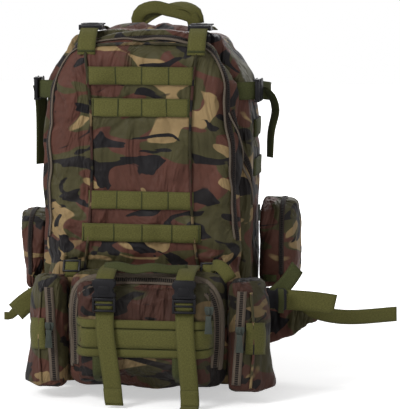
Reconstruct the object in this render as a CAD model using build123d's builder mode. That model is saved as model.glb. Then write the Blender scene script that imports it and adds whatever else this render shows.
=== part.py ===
from build123d import *
import os

# Woodland-camouflage hunting backpack with a strap-on waist pack and two side pouches.
# Millimetres. X runs left to right seen from the front, the front faces -Y, +Z is up.
# The origin is on the ground, under the line where the main compartment opens.

os.makedirs("parts", exist_ok=True)

# ---- driving sizes ----
pack_half = 155.0        # half the width of the main compartment
pack_height = 505.0      # height of the main compartment
pack_depth = 95.0        # depth of the main compartment
wall = 4.0               # padded cloth wall
seam_gap = 0.4           # room between cloth parts that part from each other
flap_foot = 198.0        # height of the fold that the front folds down about
front_depth = 76.0       # depth of the front compartment
zip_width = 4.0          # width of a zip seen from its side
webbing = 25.0           # width of the webbing
strap_thick = 1.6        # thickness of webbing
waist_half = 112.0       # half the width of the waist pack's middle pocket
waist_height = 186.0     # height of the waist pack's top
waist_foot = 16.0        # height that the waist pack's bottom hangs at
waist_shift = 14.0       # how far to the right the waist pack is strapped on
waist_depth = 88.0       # depth of the waist pack's middle pocket
wing_width = 58.0        # width of each wing pocket
wing_depth = 64.0        # depth of each wing pocket
ladder_x = 55.0          # half the distance between the front buckles
clip_shift = 5.0         # how far right of the waist pack's middle the buckles sit
buckle_half = 16.0       # half the width of a side-release buckle
prong_long = 12.0        # length of a buckle's prongs
prong_thick = 2.4        # thickness of a buckle's prongs
prong_room = 0.8         # room round the prongs in their socket
prong_rise = 1.8         # room for the prongs to rise as they leave
pouch_foot = 136.0       # height of a side pouch's bottom
pouch_height = 132.0     # height of a side pouch
pouch_wide = 92.0        # a side pouch's width along the pack's side
pouch_deep = 58.0        # how far the right side pouch stands out
slack_deep = 38.0        # how far the empty left side pouch stands out
belt_z = 62.0            # height of the hip belt's lower edge
belt_high = 70.0         # height of the hip belt's wings
pad_thick = 14.0         # thickness of the back pads and shoulder straps
yoke_half = 98.0         # half the width of the shoulder straps' yoke
yoke_high = 32.0         # height of the yoke
yoke_z = 464.0           # height of the yoke's middle

front_y = -front_depth
waist_back_y = front_y - seam_gap
waist_front_y = waist_back_y - waist_depth


def outline(half, top, foot=0.0):
    """Points round the arched shape that the pack's layers share."""
    return [
        (-half, foot),
        (half, foot),
        (half, top * 0.70),
        (half * 0.94, top * 0.88),
        (half * 0.68, top),
        (-half * 0.68, top),
        (-half * 0.94, top * 0.88),
        (-half, top * 0.70),
    ]


def save(part, node):
    """Label one piece and write its file."""
    part.label = node
    export_step(part, f"parts/{node}.step")


# ---- main compartment: an open tray that the front closes ----
with BuildPart() as main_shell:
    with BuildSketch(Plane.XZ.offset(-pack_depth)):
        with BuildLine():
            FilletPolyline(outline(pack_half, pack_height), radius=22, close=True)
        make_face()
    extrude(amount=pack_depth)
    fillet(main_shell.faces().sort_by(Axis.Y)[-1].edges(), radius=9)
    with BuildSketch(Plane.XZ.offset(-pack_depth + wall)):
        with BuildLine():
            FilletPolyline(
                outline(pack_half - wall, pack_height - wall, wall), radius=18, close=True
            )
        make_face()
    extrude(amount=pack_depth - wall, mode=Mode.SUBTRACT)
# zip band sewn to the rim, above the fold, and the yoke that the shoulder straps hang from
with BuildPart() as main_tray:
    add(main_shell.part)
    with BuildSketch(Plane.XZ):
        with BuildLine():
            FilletPolyline(outline(pack_half - 2, pack_height - 1), radius=22, close=True)
        make_face()
        with BuildLine():
            FilletPolyline(
                outline(pack_half - 8, pack_height - 7, 12), radius=19, close=True
            )
        make_face(mode=Mode.SUBTRACT)
        Rectangle(3 * pack_half, 2 * (flap_foot + seam_gap), mode=Mode.SUBTRACT)
    extrude(amount=zip_width)
    with BuildSketch(Plane.XZ.offset(-pack_depth - pad_thick)):
        with Locations((0, yoke_z)):
            RectangleRounded(2 * yoke_half, yoke_high, 8)
    extrude(amount=pad_thick)
save(main_tray.part, "main_shell")

# ---- lower front: the part of the front compartment that stays up ----
with BuildPart() as lower_front:
    with BuildSketch(Plane.XZ):
        with Locations((0, (flap_foot - seam_gap) / 2)):
            Rectangle(2 * (pack_half - 8), flap_foot - seam_gap)
    extrude(amount=front_depth)
    fillet(lower_front.faces().sort_by(Axis.Y)[0].edges().filter_by(Axis.Z), radius=24)
save(lower_front.part, "lower_front")

# ---- front flap: back layer, zip, front bag ----
flap_back_y = zip_width + seam_gap
flap_mid_y = 40.0
with BuildPart() as flap_back:
    with BuildSketch(Plane.XZ.offset(flap_back_y)):
        with BuildLine():
            FilletPolyline(
                outline(pack_half - 9, pack_height - 4, flap_foot), radius=16, close=True
            )
        make_face()
    extrude(amount=flap_mid_y - flap_back_y)
with BuildPart() as flap_layer:
    add(flap_back.part)
    with BuildSketch(Plane.XZ.offset(flap_mid_y)):
        with BuildLine():
            FilletPolyline(
                outline(pack_half - 15, pack_height - 8, flap_foot + 1), radius=14, close=True
            )
        make_face()
    extrude(amount=zip_width)
save(flap_layer.part, "flap_back")

with BuildPart() as front_bag:
    with BuildSketch(Plane.XZ.offset(flap_mid_y + zip_width)):
        with BuildLine():
            FilletPolyline(
                outline(pack_half - 22, pack_height - 11, flap_foot), radius=16, close=True
            )
        make_face()
    extrude(amount=front_depth - flap_mid_y - zip_width, taper=22)
save(front_bag.part, "front_bag")

# ---- webbing panel on the front bag, narrow at its waist ----
panel_foot = max(flap_foot + 16, waist_height + 12)
panel_top = pack_height - 68 + webbing
panel_wide = 84.0
panel_narrow = 71.0
panel_thick = 2.4
with BuildPart() as webbing_panel:
    with BuildSketch(Plane.XZ.offset(front_depth)):
        with BuildLine():
            Polyline((-panel_wide, panel_foot), (panel_wide, panel_foot))
            Spline(
                (panel_wide, panel_foot), (panel_narrow + 1, 290),
                (panel_narrow, 360), (panel_wide - 3, panel_top),
            )
            Polyline((panel_wide - 3, panel_top), (-panel_wide + 3, panel_top))
            Spline(
                (-panel_wide + 3, panel_top), (-panel_narrow, 360),
                (-panel_narrow - 1, 290), (-panel_wide, panel_foot),
            )
        make_face()
    extrude(amount=panel_thick)
    with BuildSketch(Plane.XZ.offset(front_depth + panel_thick)):
        for row_foot, row_half in ((216, 82), (262, 73), (391, 70), (435, 76)):
            with Locations((0, row_foot + webbing / 2)):
                Rectangle(2 * row_half, webbing)
    extrude(amount=strap_thick)
save(webbing_panel.part, "webbing_panel")

# ---- pocket over the webbing rows, with its own zip ----
pocket_foot = panel_top + seam_gap
pocket_high = 28.0
pocket_half = 62.0
with BuildPart() as top_pocket:
    with BuildSketch(Plane.XZ.offset(front_depth)):
        with Locations((0, pocket_foot + pocket_high / 2)):
            RectangleRounded(2 * pocket_half, pocket_high, 9)
    extrude(amount=7, taper=25)
    with BuildSketch(Plane.XZ.offset(front_depth + 7)):
        with Locations((0, pocket_foot + pocket_high - 12)):
            SlotOverall(2 * pocket_half - 24, 9)
    extrude(amount=1.5)
save(top_pocket.part, "top_pocket")

# ---- buckles that part along Y as the front folds down: two on top, one on each side ----
# the socket half stays with the main compartment, the prong half goes with the front
top_x = 77.0
socket_long = 24.0
socket_thick = 9.0
clasp_y = -34.0          # where the two halves meet
top_z = pack_height + 3.0
for side, sign in (("left", -1), ("right", 1)):
    x = sign * top_x
    with BuildPart() as top_socket:
        with BuildSketch(Plane.XY.offset(top_z)):
            with Locations((x, clasp_y + socket_long / 2)):
                RectangleRounded(2 * buckle_half, socket_long, 3)
        extrude(amount=socket_thick)
        with BuildSketch(Plane.XZ.offset(-clasp_y)):
            with Locations((x, top_z + socket_thick / 2)):
                Rectangle(27, prong_thick + 2 * prong_rise)
        extrude(amount=-prong_long - 3, mode=Mode.SUBTRACT)
    save(top_socket.part, f"top_socket_{side}")

    with BuildPart() as top_strap:
        with BuildSketch(Plane.YZ.offset(x - webbing / 2)):
            with BuildLine():
                Polyline(
                    (clasp_y + socket_long, top_z), (40, top_z), (40, top_z + strap_thick),
                    (clasp_y + socket_long, top_z + strap_thick), close=True,
                )
            make_face()
        extrude(amount=webbing)
        with BuildSketch(Plane.XY.offset(pack_height)):
            with Locations((x, 32)):
                Rectangle(webbing, 14)
        extrude(amount=top_z - pack_height)
    save(top_strap.part, f"top_strap_{side}")

    with BuildPart() as top_prong:
        with BuildSketch(Plane.XY.offset(top_z)):
            with Locations((x, clasp_y - 8 - seam_gap)):
                RectangleRounded(2 * buckle_half, 16, 3)
        extrude(amount=socket_thick - 1)
        with BuildSketch(Plane.XY.offset(top_z + socket_thick / 2 - prong_thick / 2 - 1.2)):
            for across in (-7, 7):
                with Locations((x + across, clasp_y + prong_long / 2 - 2)):
                    Rectangle(5, prong_long + 4)
        extrude(amount=prong_thick)
    save(top_prong.part, f"top_prong_{side}")

    with BuildPart() as front_drop:
        drop_y = -front_depth - 9
        with BuildSketch(Plane.YZ.offset(x - webbing / 2)):
            with BuildLine():
                Polyline(
                    (clasp_y - 17, top_z + 1), (drop_y, pack_height - 16),
                    (drop_y, panel_top + 0.6), (drop_y + 8.6, panel_top + 0.6),
                    (drop_y + 8.6, panel_top + 2.2), (drop_y + strap_thick, panel_top + 2.2),
                    (drop_y + strap_thick, pack_height - 17), (clasp_y - 17, top_z - 1.5),
                    close=True,
                )
            make_face()
        extrude(amount=webbing)
    save(front_drop.part, f"front_drop_{side}")

    # side compression strap, level with the upper webbing rows
    side_z = pack_height * 0.8416
    side_x = pack_half - 4
    with BuildPart() as side_socket:
        with BuildSketch(Plane.YZ.offset(sign * (side_x + 1))):
            with Locations((clasp_y + 10 + socket_long / 2, side_z)):
                RectangleRounded(socket_long, 2 * buckle_half, 3)
        extrude(amount=sign * socket_thick)
        with BuildSketch(Plane.XZ.offset(-clasp_y - 10)):
            with Locations((sign * (side_x + 1 + socket_thick / 2), side_z)):
                Rectangle(prong_thick + 2 * prong_room + 0.6, 27)
        extrude(amount=-prong_long - 3, mode=Mode.SUBTRACT)
    save(side_socket.part, f"side_socket_{side}")

    with BuildPart() as side_prong:
        with BuildSketch(Plane.YZ.offset(sign * (side_x + 1.5))):
            with Locations((clasp_y + 2 - seam_gap, side_z)):
                RectangleRounded(16, 2 * buckle_half, 3)
        extrude(amount=sign * (socket_thick - 1))
        with BuildSketch(
            Plane.YZ.offset(sign * (side_x + 1 + socket_thick / 2 - prong_thick / 2))
        ):
            for up in (-7, 7):
                with Locations((clasp_y + 8 + prong_long / 2, side_z + up)):
                    Rectangle(prong_long + 4, 5)
        extrude(amount=sign * prong_thick)
    save(side_prong.part, f"side_prong_{side}")

    anchor_x = (pack_half - 9) * 0.9589 + 0.6
    with BuildPart() as side_anchor:
        with BuildSketch(Plane.XY.offset(side_z - webbing / 2)):
            with BuildLine():
                Polyline(
                    (sign * anchor_x, clasp_y), (sign * anchor_x, clasp_y - 5),
                    (sign * (side_x + 1.4), clasp_y - 4), (sign * (side_x + 1.4), clasp_y),
                    close=True,
                )
            make_face()
        extrude(amount=webbing)
    save(side_anchor.part, f"side_anchor_{side}")

    # slack loop of webbing behind the socket, and its hanging tail
    with BuildPart() as side_loop:
        loop_y = clasp_y + 11.2 + socket_long
        with BuildSketch(Plane.XY.offset(side_z - webbing / 2)):
            with BuildLine():
                Spline(
                    (sign * (side_x + 4), loop_y), (sign * (side_x + 15), loop_y + 22),
                    (sign * (side_x + 6), loop_y + 48), (sign * (pack_half), loop_y + 54),
                )
            trace(line_width=strap_thick)
        extrude(amount=webbing)
    save(side_loop.part, f"side_loop_{side}")

# ---- carry handle ----
handle_half = 44.0
handle_x = 14.0          # the handle is sewn on a little to the right
handle_y = 70.0
handle_top = pack_height + 34
with BuildPart() as carry_handle:
    with BuildSketch(Plane.XZ.offset(-handle_y - webbing / 2)):
        with BuildLine():
            Polyline(
                (-handle_half, pack_height + seam_gap), (-handle_half + 6, handle_top),
                (handle_half - 6, handle_top), (handle_half, pack_height + seam_gap),
                (handle_half - 5, pack_height + seam_gap), (handle_half - 10, handle_top - 4),
                (-handle_half + 10, handle_top - 4), (-handle_half + 5, pack_height + seam_gap),
                close=True,
            )
        make_face()
    extrude(amount=webbing)
    with BuildSketch(Plane.YZ.offset(-handle_half)):
        with Locations((handle_y, pack_height + seam_gap + webbing / 2)):
            Circle(webbing / 2)
        with Locations((handle_y, pack_height + seam_gap + webbing)):
            Rectangle(webbing, webbing)
    extrude(amount=2 * handle_half, mode=Mode.INTERSECT)
save(carry_handle.part.moved(Location((handle_x, 0, 0))), "carry_handle")

# ---- zip pulls: a flat tab with an eye, hanging from its slider ----
slider_thick = 5.0
pull_long = 34.0
pull_wide = 9.0


def slider_plate(x, z, y):
    """A slider standing off the face at y towards -Y."""
    with BuildPart() as slider:
        with BuildSketch(Plane.XZ.offset(-y)):
            with Locations((x, z)):
                RectangleRounded(13, 12, 3)
        extrude(amount=slider_thick)
    return slider.part


def pull_plate(x, top, y, long=pull_long):
    """A pull hanging in front of y, with an eye at its foot."""
    with BuildPart() as pull:
        with BuildSketch(Plane.XZ.offset(-y)):
            with Locations((x, top - long / 2)):
                RectangleRounded(pull_wide, long, 3)
            with Locations((x, top - long + 8)):
                Circle(2, mode=Mode.SUBTRACT)
        extrude(amount=2)
    return pull.part


# ---- waist pack ----
waist_zip_y = waist_front_y + 22
waist_tall = waist_height - 4 - waist_foot
waist_mid = waist_foot + waist_tall / 2
with BuildPart() as waist_rear:
    with BuildSketch(Plane.XZ.offset(-waist_zip_y - zip_width)):
        with Locations((waist_shift, waist_mid)):
            RectangleRounded(2 * waist_half, waist_tall, 22)
    extrude(amount=-(waist_back_y - waist_zip_y - zip_width))
    with BuildSketch(Plane.XZ.offset(-waist_zip_y - zip_width)):
        with Locations((waist_shift, waist_mid)):
            RectangleRounded(2 * waist_half - 4, waist_tall - 2, 22)
    extrude(amount=zip_width)
save(waist_rear.part, "waist_rear")

band_foot = 68.0
band_high = 52.0
with BuildPart() as waist_front:
    with BuildSketch(Plane.XZ.offset(-waist_zip_y)):
        with Locations((waist_shift, waist_mid)):
            RectangleRounded(2 * waist_half - 8, waist_tall - 6, 22)
    extrude(amount=waist_zip_y - waist_front_y)
    fillet(waist_front.faces().sort_by(Axis.Y)[0].edges(), radius=10)
    with BuildSketch(Plane.XZ.offset(-waist_front_y)):
        with Locations((waist_shift, band_foot + band_high / 2)):
            Rectangle(2 * waist_half - 34, band_high)
    extrude(amount=strap_thick)
save(waist_front.part, "waist_front")

clip_z = 152.0           # where the front buckles' halves meet
face_y = waist_front_y - strap_thick
for side, sign in (("left", -1), ("right", 1)):
    x = waist_shift + clip_shift + sign * ladder_x
    with BuildPart() as clip_strap:
        with BuildSketch(Plane.YZ.offset(x - webbing / 2)):
            with BuildLine():
                Polyline(
                    (waist_back_y - 20, waist_height - 4), (waist_back_y - 20, waist_height - 1),
                    (waist_zip_y, waist_height - 1), (waist_front_y - 6, clip_z + 33),
                    (waist_front_y - 6, clip_z + 25), (waist_front_y - 4, clip_z + 25),
                    (waist_front_y - 4, clip_z + 32), (waist_zip_y, waist_height - 4),
                    close=True,
                )
            make_face()
        extrude(amount=webbing)
    save(clip_strap.part, f"clip_strap_{side}")

    with BuildPart() as clip_socket:
        with BuildSketch(Plane.XZ.offset(-face_y + 1)):
            with Locations((x, clip_z + 12.5)):
                RectangleRounded(2 * buckle_half, 25, 3)
        extrude(amount=socket_thick)
        with BuildSketch(Plane.XY.offset(clip_z)):
            with Locations((x, face_y - 1 - socket_thick / 2)):
                Rectangle(26, prong_thick + 2 * prong_room)
        extrude(amount=prong_long + 3, mode=Mode.SUBTRACT)
    save(clip_socket.part, f"clip_socket_{side}")

    with BuildPart() as clip_prong:
        with BuildSketch(Plane.XZ.offset(-face_y + 0.8 + strap_thick)):
            with Locations((x, clip_z - seam_gap - 10)):
                RectangleRounded(2 * buckle_half, 20, 3)
            with Locations((x, clip_z - seam_gap - 8), (x, clip_z - seam_gap - 14)):
                Rectangle(webbing + 1, 2.6, mode=Mode.SUBTRACT)
        extrude(amount=6)
        prong_back = -face_y + 1 + socket_thick / 2 - prong_thick / 2
        with BuildSketch(Plane.XZ.offset(prong_back)):
            for across in (-7, 7):
                with Locations((x + across, clip_z + prong_long / 2 - 2)):
                    Rectangle(5, prong_long + 4)
        extrude(amount=prong_thick)
    save(clip_prong.part, f"clip_prong_{side}")

    tail_end = 42.0 if sign > 0 else 16.0
    with BuildPart() as strap_tail:
        tail_y = face_y - 1.6
        with BuildSketch(Plane.YZ.offset(x - webbing / 2)):
            with BuildLine():
                Polyline(
                    (tail_y, clip_z - 2), (tail_y, 12), (tail_y - 8, 2.4), (tail_y - tail_end, 2.4),
                    (tail_y - tail_end, 0.8), (tail_y - 7, 0.8), (tail_y + strap_thick, 11),
                    (tail_y + strap_thick, clip_z - 2), close=True,
                )
            make_face()
        extrude(amount=webbing)
    save(strap_tail.part, f"strap_tail_{side}")

    # wing pocket with an upright zip; its slider runs up the zip and carries a pull
    wing_x = waist_shift + sign * (waist_half + seam_gap)
    wing_face = waist_back_y - wing_depth
    zip_x = wing_x + sign * 20
    with BuildPart() as wing:
        with BuildSketch(Plane.XY.offset(12)):
            with BuildLine():
                FilletPolyline(
                    (wing_x, waist_back_y), (wing_x, waist_back_y - wing_depth),
                    (wing_x + sign * wing_width * 0.55, waist_back_y - wing_depth),
                    (wing_x + sign * wing_width, waist_back_y - wing_depth * 0.5),
                    (wing_x + sign * wing_width, waist_back_y),
                    radius=4, close=True,
                )
            make_face()
        extrude(amount=waist_height - 32)
        with BuildSketch(Plane.XZ.offset(-wing_face)):
            with Locations((zip_x, 90)):
                Rectangle(13, 130)
        extrude(amount=1.5)
    save(wing.part, f"wing_{side}")

    slider_z = 104.0
    slider_y = wing_face - 1.5 - seam_gap
    save(slider_plate(zip_x, slider_z, slider_y), f"wing_slider_{side}")
    save(pull_plate(zip_x, slider_z - 4, slider_y - slider_thick - seam_gap), f"wing_pull_{side}")

# slider of the waist pack's middle zip, at the right end, and its pull
mid_x = waist_shift + waist_half - 19
save(slider_plate(mid_x, 134, waist_front_y), "waist_slider")
save(pull_plate(mid_x, 130, waist_front_y - slider_thick - seam_gap), "waist_pull")

# ---- pull of the main zip ----
with BuildPart() as main_pull:
    with BuildSketch(Plane.YZ.offset(pack_half + seam_gap)):
        with Locations((-5, 246)):
            RectangleRounded(11, 32, 3)
        with Locations((-5, 236)):
            Circle(2, mode=Mode.SUBTRACT)
    extrude(amount=2)
save(main_pull.part, "main_pull")

# ---- side pouches: an open tray on the pack's side and a lid that swings out ----
pouch_y = 50.0
pouch_clear = 0.6
for side, sign, deep, tray_deep, foot, high in (
    ("left", -1, slack_deep, 20.0, pouch_foot - 8, pouch_height - 14),
    ("right", 1, pouch_deep, 30.0, pouch_foot, pouch_height),
):
    tray_x = sign * (pack_half + pouch_clear)
    pouch_z = foot + high / 2
    with BuildPart() as pouch_tray:
        with BuildSketch(Plane.YZ.offset(tray_x)):
            with Locations((pouch_y, pouch_z)):
                RectangleRounded(pouch_wide, high, 14)
        extrude(amount=sign * tray_deep)
        with BuildSketch(Plane.YZ.offset(tray_x + sign * 3)):
            with Locations((pouch_y, pouch_z)):
                RectangleRounded(pouch_wide - 6, high - 6, 11)
        extrude(amount=sign * tray_deep, mode=Mode.SUBTRACT)
    save(pouch_tray.part, f"pouch_tray_{side}")

    lid_x = tray_x + sign * (tray_deep + seam_gap)
    with BuildPart() as pouch_lid:
        with BuildSketch(Plane.YZ.offset(lid_x)):
            with Locations((pouch_y, pouch_z)):
                RectangleRounded(pouch_wide, high, 14)
        extrude(amount=sign * (deep - tray_deep), taper=20)
    save(pouch_lid.part, f"pouch_lid_{side}")

# ---- strap with a buckle half and a free end, standing out at each side of the waist ----
stub_z = 118.0
stub_y = -42.0
stub_high = 30.0
for side, sign, stub_long, droop in (("left", -1, 42.0, 28.0), ("right", 1, 126.0, 3.0)):
    foot_x = sign * (pack_half - 8 + seam_gap)
    with BuildPart() as stub:
        with BuildSketch(Plane.XZ.offset(-stub_y)):
            with BuildLine():
                Polyline(
                    (foot_x, stub_z), (foot_x, stub_z + stub_high),
                    (foot_x + sign * stub_long, stub_z + stub_high - droop),
                    (foot_x + sign * (stub_long - 8), stub_z + 1 - droop),
                    close=True,
                )
            make_face()
        extrude(amount=strap_thick)
    save(stub.part, f"side_stub_{side}")

with BuildPart() as stub_buckle:
    with BuildSketch(Plane.XZ.offset(-stub_y + strap_thick)):
        with Locations((pack_half + 33, stub_z + stub_high / 2)):
            RectangleRounded(30, 32, 3)
    extrude(amount=8)
save(stub_buckle.part, "stub_buckle")

# ---- hip belt: a padded wing at each side, with its own webbing end ----
# the left wing lies folded back against the shoulder straps' side
for side, sign, end_long, folded in (("left", -1, 30.0, 65.0), ("right", 1, 130.0, 0.0)):
    hinge_x = sign * (pack_half + seam_gap)
    hinge_line = Axis((hinge_x, pack_depth - 12, 0), (0, 0, 1))
    with BuildPart() as hip_wing:
        with BuildSketch(Plane.XZ.offset(-pack_depth + 12)):
            with BuildLine():
                FilletPolyline(
                    (hinge_x, belt_z - 18), (hinge_x, belt_z + belt_high - 8),
                    (hinge_x + sign * 72, belt_z + belt_high - 12),
                    (hinge_x + sign * 84, belt_z + 20), (hinge_x + sign * 40, belt_z - 6),
                    radius=8, close=True,
                )
            make_face()
        extrude(amount=14)
    save(hip_wing.part.rotate(hinge_line, sign * folded), f"hip_wing_{side}")

    with BuildPart() as hip_end:
        end_x = hinge_x + sign * 66
        with BuildSketch(Plane.XZ.offset(-pack_depth + 26 + seam_gap)):
            with BuildLine():
                Polyline(
                    (end_x, belt_z + 30), (end_x, belt_z + 53),
                    (end_x + sign * end_long * 0.4, belt_z + 42),
                    (end_x + sign * end_long, belt_z + 46),
                    (end_x + sign * (end_long - 4), belt_z + 24),
                    (end_x + sign * end_long * 0.4, belt_z + 18),
                    close=True,
                )
            make_face()
        extrude(amount=strap_thick)
    save(hip_end.part.rotate(hinge_line, sign * folded), f"hip_end_{side}")

# ---- back: two pads and two shoulder straps ----
pad_y = pack_depth
for side, sign in (("left", -1), ("right", 1)):
    with BuildPart() as back_pad:
        with BuildSketch(Plane.XZ.offset(-pad_y - pad_thick)):
            with Locations((sign * 66, 283)):
                RectangleRounded(96, 322, 24)
        extrude(amount=pad_thick)
    save(back_pad.part, f"back_pad_{side}")

    strap_y = pad_y + pad_thick + seam_gap
    with BuildPart() as shoulder_strap:
        with BuildSketch(Plane.YZ.offset(sign * 34)):
            with BuildLine():
                Polyline(
                    (strap_y, 462), (strap_y + 10, 478), (strap_y + 34, 455),
                    (strap_y + 44, 400), (strap_y + 40, 250), (strap_y + 30, 160),
                    (strap_y + 18, 162), (strap_y + 28, 250), (strap_y + 31, 398),
                    (strap_y + 22, 444), (strap_y + 8, 461),
                    close=True,
                )
            make_face()
        extrude(amount=sign * 58)
    save(shoulder_strap.part, f"shoulder_strap_{side}")

    # lower webbing from the shoulder strap's foot to the pack's bottom corner
    with BuildPart() as lower_webbing:
        with BuildSketch(Plane.YZ.offset(sign * 50)):
            with BuildLine():
                Polyline(
                    (strap_y + 19, 159.4), (strap_y + 22, 159.4), (pack_depth + 4, 70),
                    (pack_depth + 4, 56), (pack_depth + seam_gap, 56), (pack_depth + seam_gap, 72),
                    close=True,
                )
            make_face()
        extrude(amount=sign * webbing)
    save(lower_webbing.part, f"lower_webbing_{side}")
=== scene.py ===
# %% [markdown]
# # A camouflage hunting backpack
# The pack stands on the ground with its front towards -Y. Every piece is made in
# metres at the place that the measured frame gives, so the first cell loads that
# frame.

# %% Load the frame
import math
import bmesh
import bpy
from mathutils import Matrix, Vector, noise
from mathutils.bvhtree import BVHTree


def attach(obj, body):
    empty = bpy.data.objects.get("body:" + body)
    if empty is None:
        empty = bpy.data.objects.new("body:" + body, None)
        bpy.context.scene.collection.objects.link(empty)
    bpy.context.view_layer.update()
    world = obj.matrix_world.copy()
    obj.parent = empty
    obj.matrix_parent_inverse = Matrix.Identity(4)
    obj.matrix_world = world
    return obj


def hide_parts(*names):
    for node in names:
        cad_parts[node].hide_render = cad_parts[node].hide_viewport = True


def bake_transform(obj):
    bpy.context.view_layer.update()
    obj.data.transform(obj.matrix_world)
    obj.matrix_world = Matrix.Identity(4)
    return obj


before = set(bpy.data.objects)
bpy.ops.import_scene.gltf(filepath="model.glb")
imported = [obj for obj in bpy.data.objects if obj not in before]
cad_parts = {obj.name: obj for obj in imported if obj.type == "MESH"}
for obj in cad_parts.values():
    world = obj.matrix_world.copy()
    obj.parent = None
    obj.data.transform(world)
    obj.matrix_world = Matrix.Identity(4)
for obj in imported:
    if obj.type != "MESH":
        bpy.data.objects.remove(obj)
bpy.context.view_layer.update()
MM = 0.001                   # sizes are given in millimetres, and the scene is in metres
SIDES = ((-1, "left"), (1, "right"))

# %% [markdown]
# ## Camera
# The pack is seen nearly from the front, a little from its right and from above.
# A long lens a few metres away keeps its upright edges upright. The aim point is set
# across and up in the camera's own directions, so the framing is easy to nudge.

# %% Camera
AZIMUTH = math.radians(8.0)
ELEVATION = math.radians(7.0)
CAMERA_AWAY = 3.4
VIEW_TALL = 0.588            # metres that the picture's height spans
AIM_ACROSS = 0.0705
AIM_UP = 0.2565
look = Vector((-math.sin(AZIMUTH) * math.cos(ELEVATION), math.cos(AZIMUTH) * math.cos(ELEVATION),
               -math.sin(ELEVATION)))
right = Vector((math.cos(AZIMUTH), math.sin(AZIMUTH), 0))
up = right.cross(look)
aim = right * AIM_ACROSS + up * AIM_UP
camera_data = bpy.data.cameras.new("camera")
camera_data.lens = 36 * CAMERA_AWAY / VIEW_TALL
camera_data.clip_end = 50
camera = bpy.data.objects.new("camera", camera_data)
camera.location = aim - look * CAMERA_AWAY
camera.rotation_euler = look.to_track_quat("-Z", "Y").to_euler()
bpy.context.scene.collection.objects.link(camera)
bpy.context.scene.camera = camera
print("camera at", tuple(round(v, 3) for v in camera.location))

# %% [markdown]
# ## Light and floor
# Soft, even studio light: a wide lamp high at the front left, a weaker one at the
# right, and a pale world. The floor and the world look white to the camera without
# throwing more light on the pack.

# %% Light and floor
def lamp(name, place, target, size, power):
    """A square area lamp that points from place to target."""
    data = bpy.data.lights.new(name, "AREA")
    data.size = size
    data.energy = power
    thing = bpy.data.objects.new(name, data)
    thing.location = place
    aim_line = Vector(target) - Vector(place)
    thing.rotation_euler = aim_line.to_track_quat("-Z", "Y").to_euler()
    bpy.context.scene.collection.objects.link(thing)


lamp("key_lamp", (-1.5, -1.9, 1.9), (0, 0, 0.25), 1.0, 49)
lamp("fill_lamp", (1.9, -1.6, 0.9), (0, 0, 0.25), 1.6, 5)
lamp("back_lamp", (0.4, 1.9, 1.9), (0, 0, 0.3), 1.4, 22)


def white_sky(tree, sky):
    """Mix the sky with plain white where the camera, a mirror or clear plastic looks at it."""
    add, join = tree.nodes.new, tree.links.new
    path = add("ShaderNodeLightPath")
    seen = path.outputs["Is Camera Ray"]
    for kind in ("Is Glossy Ray", "Is Transmission Ray"):
        either = add("ShaderNodeMath")
        either.operation = "MAXIMUM"
        join(seen, either.inputs[0])
        join(path.outputs[kind], either.inputs[1])
        seen = either.outputs[0]
    white = add("ShaderNodeBackground")
    white.inputs["Color"].default_value = (1, 1, 1, 1)
    white.inputs["Strength"].default_value = 1.0
    mix = add("ShaderNodeMixShader")
    for source, target in zip((seen, sky.outputs[0], white.outputs[0]), mix.inputs):
        join(source, target)
    return mix.outputs[0]


SKY_LIGHT = 0.29
world = bpy.data.worlds.new("studio")
bpy.context.scene.world = world
world.use_nodes = True
soft_sky = world.node_tree.nodes["Background"]
soft_sky.inputs["Color"].default_value = (1, 1, 1, 1)
soft_sky.inputs["Strength"].default_value = SKY_LIGHT
world.node_tree.links.new(white_sky(world.node_tree, soft_sky),
                          world.node_tree.nodes["World Output"].inputs[0])

floor_bm = bmesh.new()
bmesh.ops.create_grid(floor_bm, x_segments=1, y_segments=1, size=6)
floor_mesh = bpy.data.meshes.new("floor")
floor_bm.to_mesh(floor_mesh)
floor = bpy.data.objects.new("floor", floor_mesh)
floor.location.z = -0.0005
bpy.context.scene.collection.objects.link(floor)
floor_paint = bpy.data.materials.new("pale_floor")
floor_paint.use_nodes = True
add, join = floor_paint.node_tree.nodes.new, floor_paint.node_tree.links.new
floor_bsdf = floor_paint.node_tree.nodes["Principled BSDF"]
floor_bsdf.inputs["Base Color"].default_value = (0.93, 0.93, 0.93, 1)
floor_bsdf.inputs["Roughness"].default_value = 0.9
kinds = ("TexCoord", "VectorMath", "MapRange", "LightPath", "Math", "Emission", "AddShader")
spot, away, fading, camera_only, seen_glow, glow, lit = (add("ShaderNode" + kind) for kind in kinds)
away.operation = "LENGTH"
seen_glow.operation = "MULTIPLY"
# the glow grows with the distance in metres, so the shadow at the pack's foot stays
for key, number in (("From Min", 0.35), ("From Max", 1.2), ("To Min", 0.5), ("To Max", 1.2)):
    fading.inputs[key].default_value = number
for source, target in ((spot.outputs["Object"], away.inputs[0]),
                       (away.outputs["Value"], fading.inputs["Value"]),
                       (camera_only.outputs["Is Camera Ray"], seen_glow.inputs[0]),
                       (fading.outputs[0], seen_glow.inputs[1]),
                       (seen_glow.outputs[0], glow.inputs["Strength"]),
                       (floor_bsdf.outputs[0], lit.inputs[0]), (glow.outputs[0], lit.inputs[1]),
                       (lit.outputs[0], floor_paint.node_tree.nodes["Material Output"].inputs[0])):
    join(source, target)
floor_mesh.materials.append(floor_paint)
scene = bpy.context.scene
scene.view_settings.view_transform = "Standard"
print("lamps and floor ready")

# %% [markdown]
# ## Finishes
# All finishes are made from nodes. A small helper starts a material with a
# principled shader and reads either Object coordinates, which stay still on the
# piece, or the piece's own UV map, which runs along a strap or a zip.

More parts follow.
